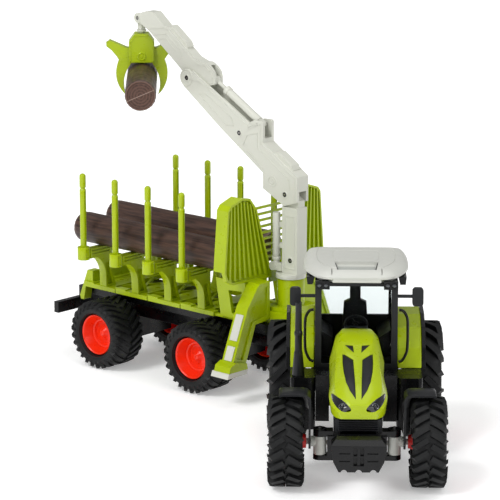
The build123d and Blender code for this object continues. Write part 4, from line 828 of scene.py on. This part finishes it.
def add_roof_lamps():
    """Two-lamp pods under the roof's front corners and a rounded pod at each side."""
    lamp_y, lamp_z, pod_top = -56.4, 123.6, 126.8
    cup = [(-0.2, 2.1), (0.7, 2.0), (0.8, 1.7), (0.3, 1.5), (-0.4, 1.4)]
    glass = [(-0.2, 1.5), (0.2, 1.4), (0.45, 0.8), (0.5, 0.05)]
    pods, lenses = bmesh.new(), bmesh.new()
    for sign in (-1, 1):
        low, high = sorted((sign * 18.6, sign * 28.4))
        block(pods, HERE, (low, -56.6, 120.9), (high, -53.2, pod_top))
        low, high = sorted((sign * 28.8, sign * 34.6))
        foot_low, foot_high = (low + 1.6, high - 0.6) if sign == 1 else (low + 0.6, high - 1.6)
        ribbon(pods, HERE, [[(low, y, pod_top), (high, y, pod_top), (foot_high, y, z), (foot_low, y, z)]
                            for y, z in ((-44, 121.4), (-37, 119.6), (-25, 121.4))])
        for x in (21.2, 25.8):
            lathe(pods, HERE, sign * x, lamp_y, lamp_z, (0, -1, 0), cup)
            lathe(lenses, HERE, sign * x, lamp_y, lamp_z, (0, -1, 0), glass)
    piece("roof_lamp_pods", mesh_from(pods, "roof_lamp_pods", TRACTOR), "black_plastic",
          "tractor", "roof_lights", bevel=0.35)
    piece("roof_lamp_lenses", mesh_from(lenses, "roof_lamp_lenses", TRACTOR), "lens", "tractor")


def tube(bm, base, points, radius, steps=12, per_span=6):
    """A round tube through the points, smoothed."""
    spots = [Vector(p) for p in points]
    padded = [spots[0]] + spots + [spots[-1]]
    path = []
    for a, b, c, d in zip(padded, padded[1:], padded[2:], padded[3:]):
        path += [between(a, b, c, d, step / per_span) for step in range(per_span)]
    path.append(spots[-1])
    stations = []
    for i, at in enumerate(path):
        way = (path[min(i + 1, len(path) - 1)] - path[max(i - 1, 0)]).normalized()
        side = Vector((0, 1, 0))
        up = way.cross(side).normalized()
        stations.append([tuple(at + radius * (side * cos(tau * k / steps) + up * sin(tau * k / steps)))
                         for k in range(steps)])
    ribbon(bm, base, stations)


def add_handrails():
    """A bowed rail beside each front corner of the cab."""
    rail_y, radius = -51, 1.0
    bow = ((29.4, 105.2), (32.4, 104.4), (35.0, 99.6), (35.5, 92), (35.5, 82), (34.9, 75.4), (32.2, 69.6),
           (29.4, 68.2))
    bm = bmesh.new()
    for sign in (-1, 1):
        tube(bm, HERE, [(sign * x, rail_y, z) for x, z in bow], radius)
    piece("handrail_tubes", mesh_from(bm, "handrail_tubes", TRACTOR), "black_plastic", "tractor", "handrails")


def add_front_mudguards():
    """Rounded arch over each front tyre, rolled down to its inner leg."""
    section = [(52.2, 33.6), (52.5, 34.6), (51.8, 35.6), (50.0, 36.0), (36.4, 36.0), (33.4, 35.4),
               (31.5, 33.8), (30.9, 31.2), (30.9, 27.0), (32.4, 27.0), (32.4, 31.0), (33.2, 33.2),
               (34.6, 34.2), (36.6, 34.6), (50.0, 34.6), (51.2, 34.2)]
    first, arc, spans = -15, 80, 24  # degrees from straight up, and the steps along the arch
    leg = [(-3.6, 26.4), (3.6, 26.4), (5, 30), (5, 44), (11, 60), (-7, 62), (-5, 46), (-5, 30)]
    for side, sign in (("right", -1), ("left", 1)):
        middle, _ = box_in(f"front_tyre_{side}", TRACTOR)
        stations = []
        for k in range(spans + 1):
            turn = radians(first + arc * k / spans)
            stations.append([(sign * x, middle.y + r * sin(turn), middle.z + r * cos(turn))
                             for x, r in section])
        bm = bmesh.new()
        ribbon(bm, HERE, stations)
        ribbon(bm, HERE, [[(sign * x, middle.y + y, z) for y, z in leg] for x in (31.1, 32.6)])
        piece(f"mudguard_{side}", mesh_from(bm, f"mudguard_{side}", TRACTOR), "dark_grey_plastic",
              f"knuckle_{side}", f"front_fender_{side}", smooth=50)


add_headlamps()
add_handrails()
add_front_mudguards()
add_roof()
add_roof_lamps()


# ---------------------------------------------------------------- CAD nodes that stay
USUAL_ROUNDING, CAD_EDGE_ANGLE = 0.3, radians(32)
ROUNDING = {"fuel_tanks": 0.8, "rear_fenders": 1.0, "outriggers": 0.5, "seat": 1.0, "crane_column": 0.45,
            "boom": 0.45, "jib": 0.45, "grapple_body": 0.5, "claw_right": 0.6, "claw_left": 0.6,
            "bonnet": 0.35, "front_weight": 0.35, "mirrors": 0.5}
for name, cad in frame["nodes"].items():
    if cad.hide_render:
        continue
    cad.data.materials.clear()
    cad.data.materials.append(MATERIALS[SLOT_OF[name]])
    seam = cad.modifiers.new("seam", "WELD")
    seam.merge_threshold = 1e-6
    rounding = cad.modifiers.new("rounding", "BEVEL")
    rounding.width = ROUNDING.get(name, USUAL_ROUNDING) * MM
    rounding.segments, rounding.limit_method = 2, "ANGLE"
    rounding.angle_limit, rounding.harden_normals = CAD_EDGE_ANGLE, True


# ---------------------------------------------------------------- stage
def floor_and_lights():
    """A white sheet under the toy, a white sky that lights it softly, three suns and two softboxes."""
    bm = bmesh.new()
    bmesh.ops.create_grid(bm, x_segments=1, y_segments=1, size=6.0)
    mesh = bpy.data.meshes.new("floor")
    bm.to_mesh(mesh)
    bm.free()
    ground_plane = bpy.data.objects.new("floor", mesh)
    ground_plane.location.z = min(cad_low[2], 0) - 0.0002
    bpy.context.scene.collection.objects.link(ground_plane)
    paper, _, sheet = moulded("paper", (0.93, 0.93, 0.93, 1), 0.8, mottle=0.0)
    sheet.inputs["Emission Color"].default_value = (1, 1, 1, 1)
    sheet.inputs["Emission Strength"].default_value = 0.3
    mesh.materials.append(paper)
    world = bpy.data.worlds.new("studio")
    bpy.context.scene.world = world
    world.use_nodes = True
    sky = world.node_tree
    backdrop = sky.nodes["Background"]
    backdrop.inputs["Color"].default_value = (1, 1, 1, 1)
    glow = node(sky, "ShaderNodeMapRange", (-300, 0), **{"To Min": 0.26, "To Max": 1.0})
    seen = node(sky, "ShaderNodeLightPath", (-600, 0))
    sky.links.new(seen.outputs["Is Camera Ray"], glow.inputs["Value"])
    sky.links.new(glow.outputs["Result"], backdrop.inputs["Strength"])

    def lamp(name, kind, at, energy, size):
        light = bpy.data.lights.new(name, kind)
        light.energy = energy
        if kind == "SUN":
            light.angle = radians(size)
        else:
            light.shape, light.size = "SQUARE", size
        made = bpy.data.objects.new(name, light)
        made.location = at
        made.rotation_euler = (Vector((0, 0, 0.1)) - Vector(at)).to_track_quat("-Z", "Y").to_euler()
        bpy.context.scene.collection.objects.link(made)

    lamp("key", "SUN", (-1.4, -1.2, 2.2), 1.6, 22)
    lamp("fill", "SUN", (1.5, -1.6, 1.9), 0.7, 40)
    lamp("overhead", "SUN", (0.1, 0.5, 2.5), 0.7, 50)
    lamp("left_softbox", "AREA", (-1.0, -1.5, 0.9), 4, 0.5)
    lamp("right_softbox", "AREA", (1.1, -1.5, 0.9), 4, 0.5)


floor_and_lights()

camera = bpy.data.objects.new("camera", bpy.data.cameras.new("camera"))
camera.data.lens, camera.data.sensor_width = 180, 36
camera.data.clip_end = 20
camera.location = (0.0575, -1.7777, 0.5401)
camera.rotation_euler = (radians(90 - 13.23), 0, radians(1.45))
bpy.context.scene.collection.objects.link(camera)
bpy.context.scene.camera = camera
bpy.context.scene.view_settings.view_transform = "Standard"
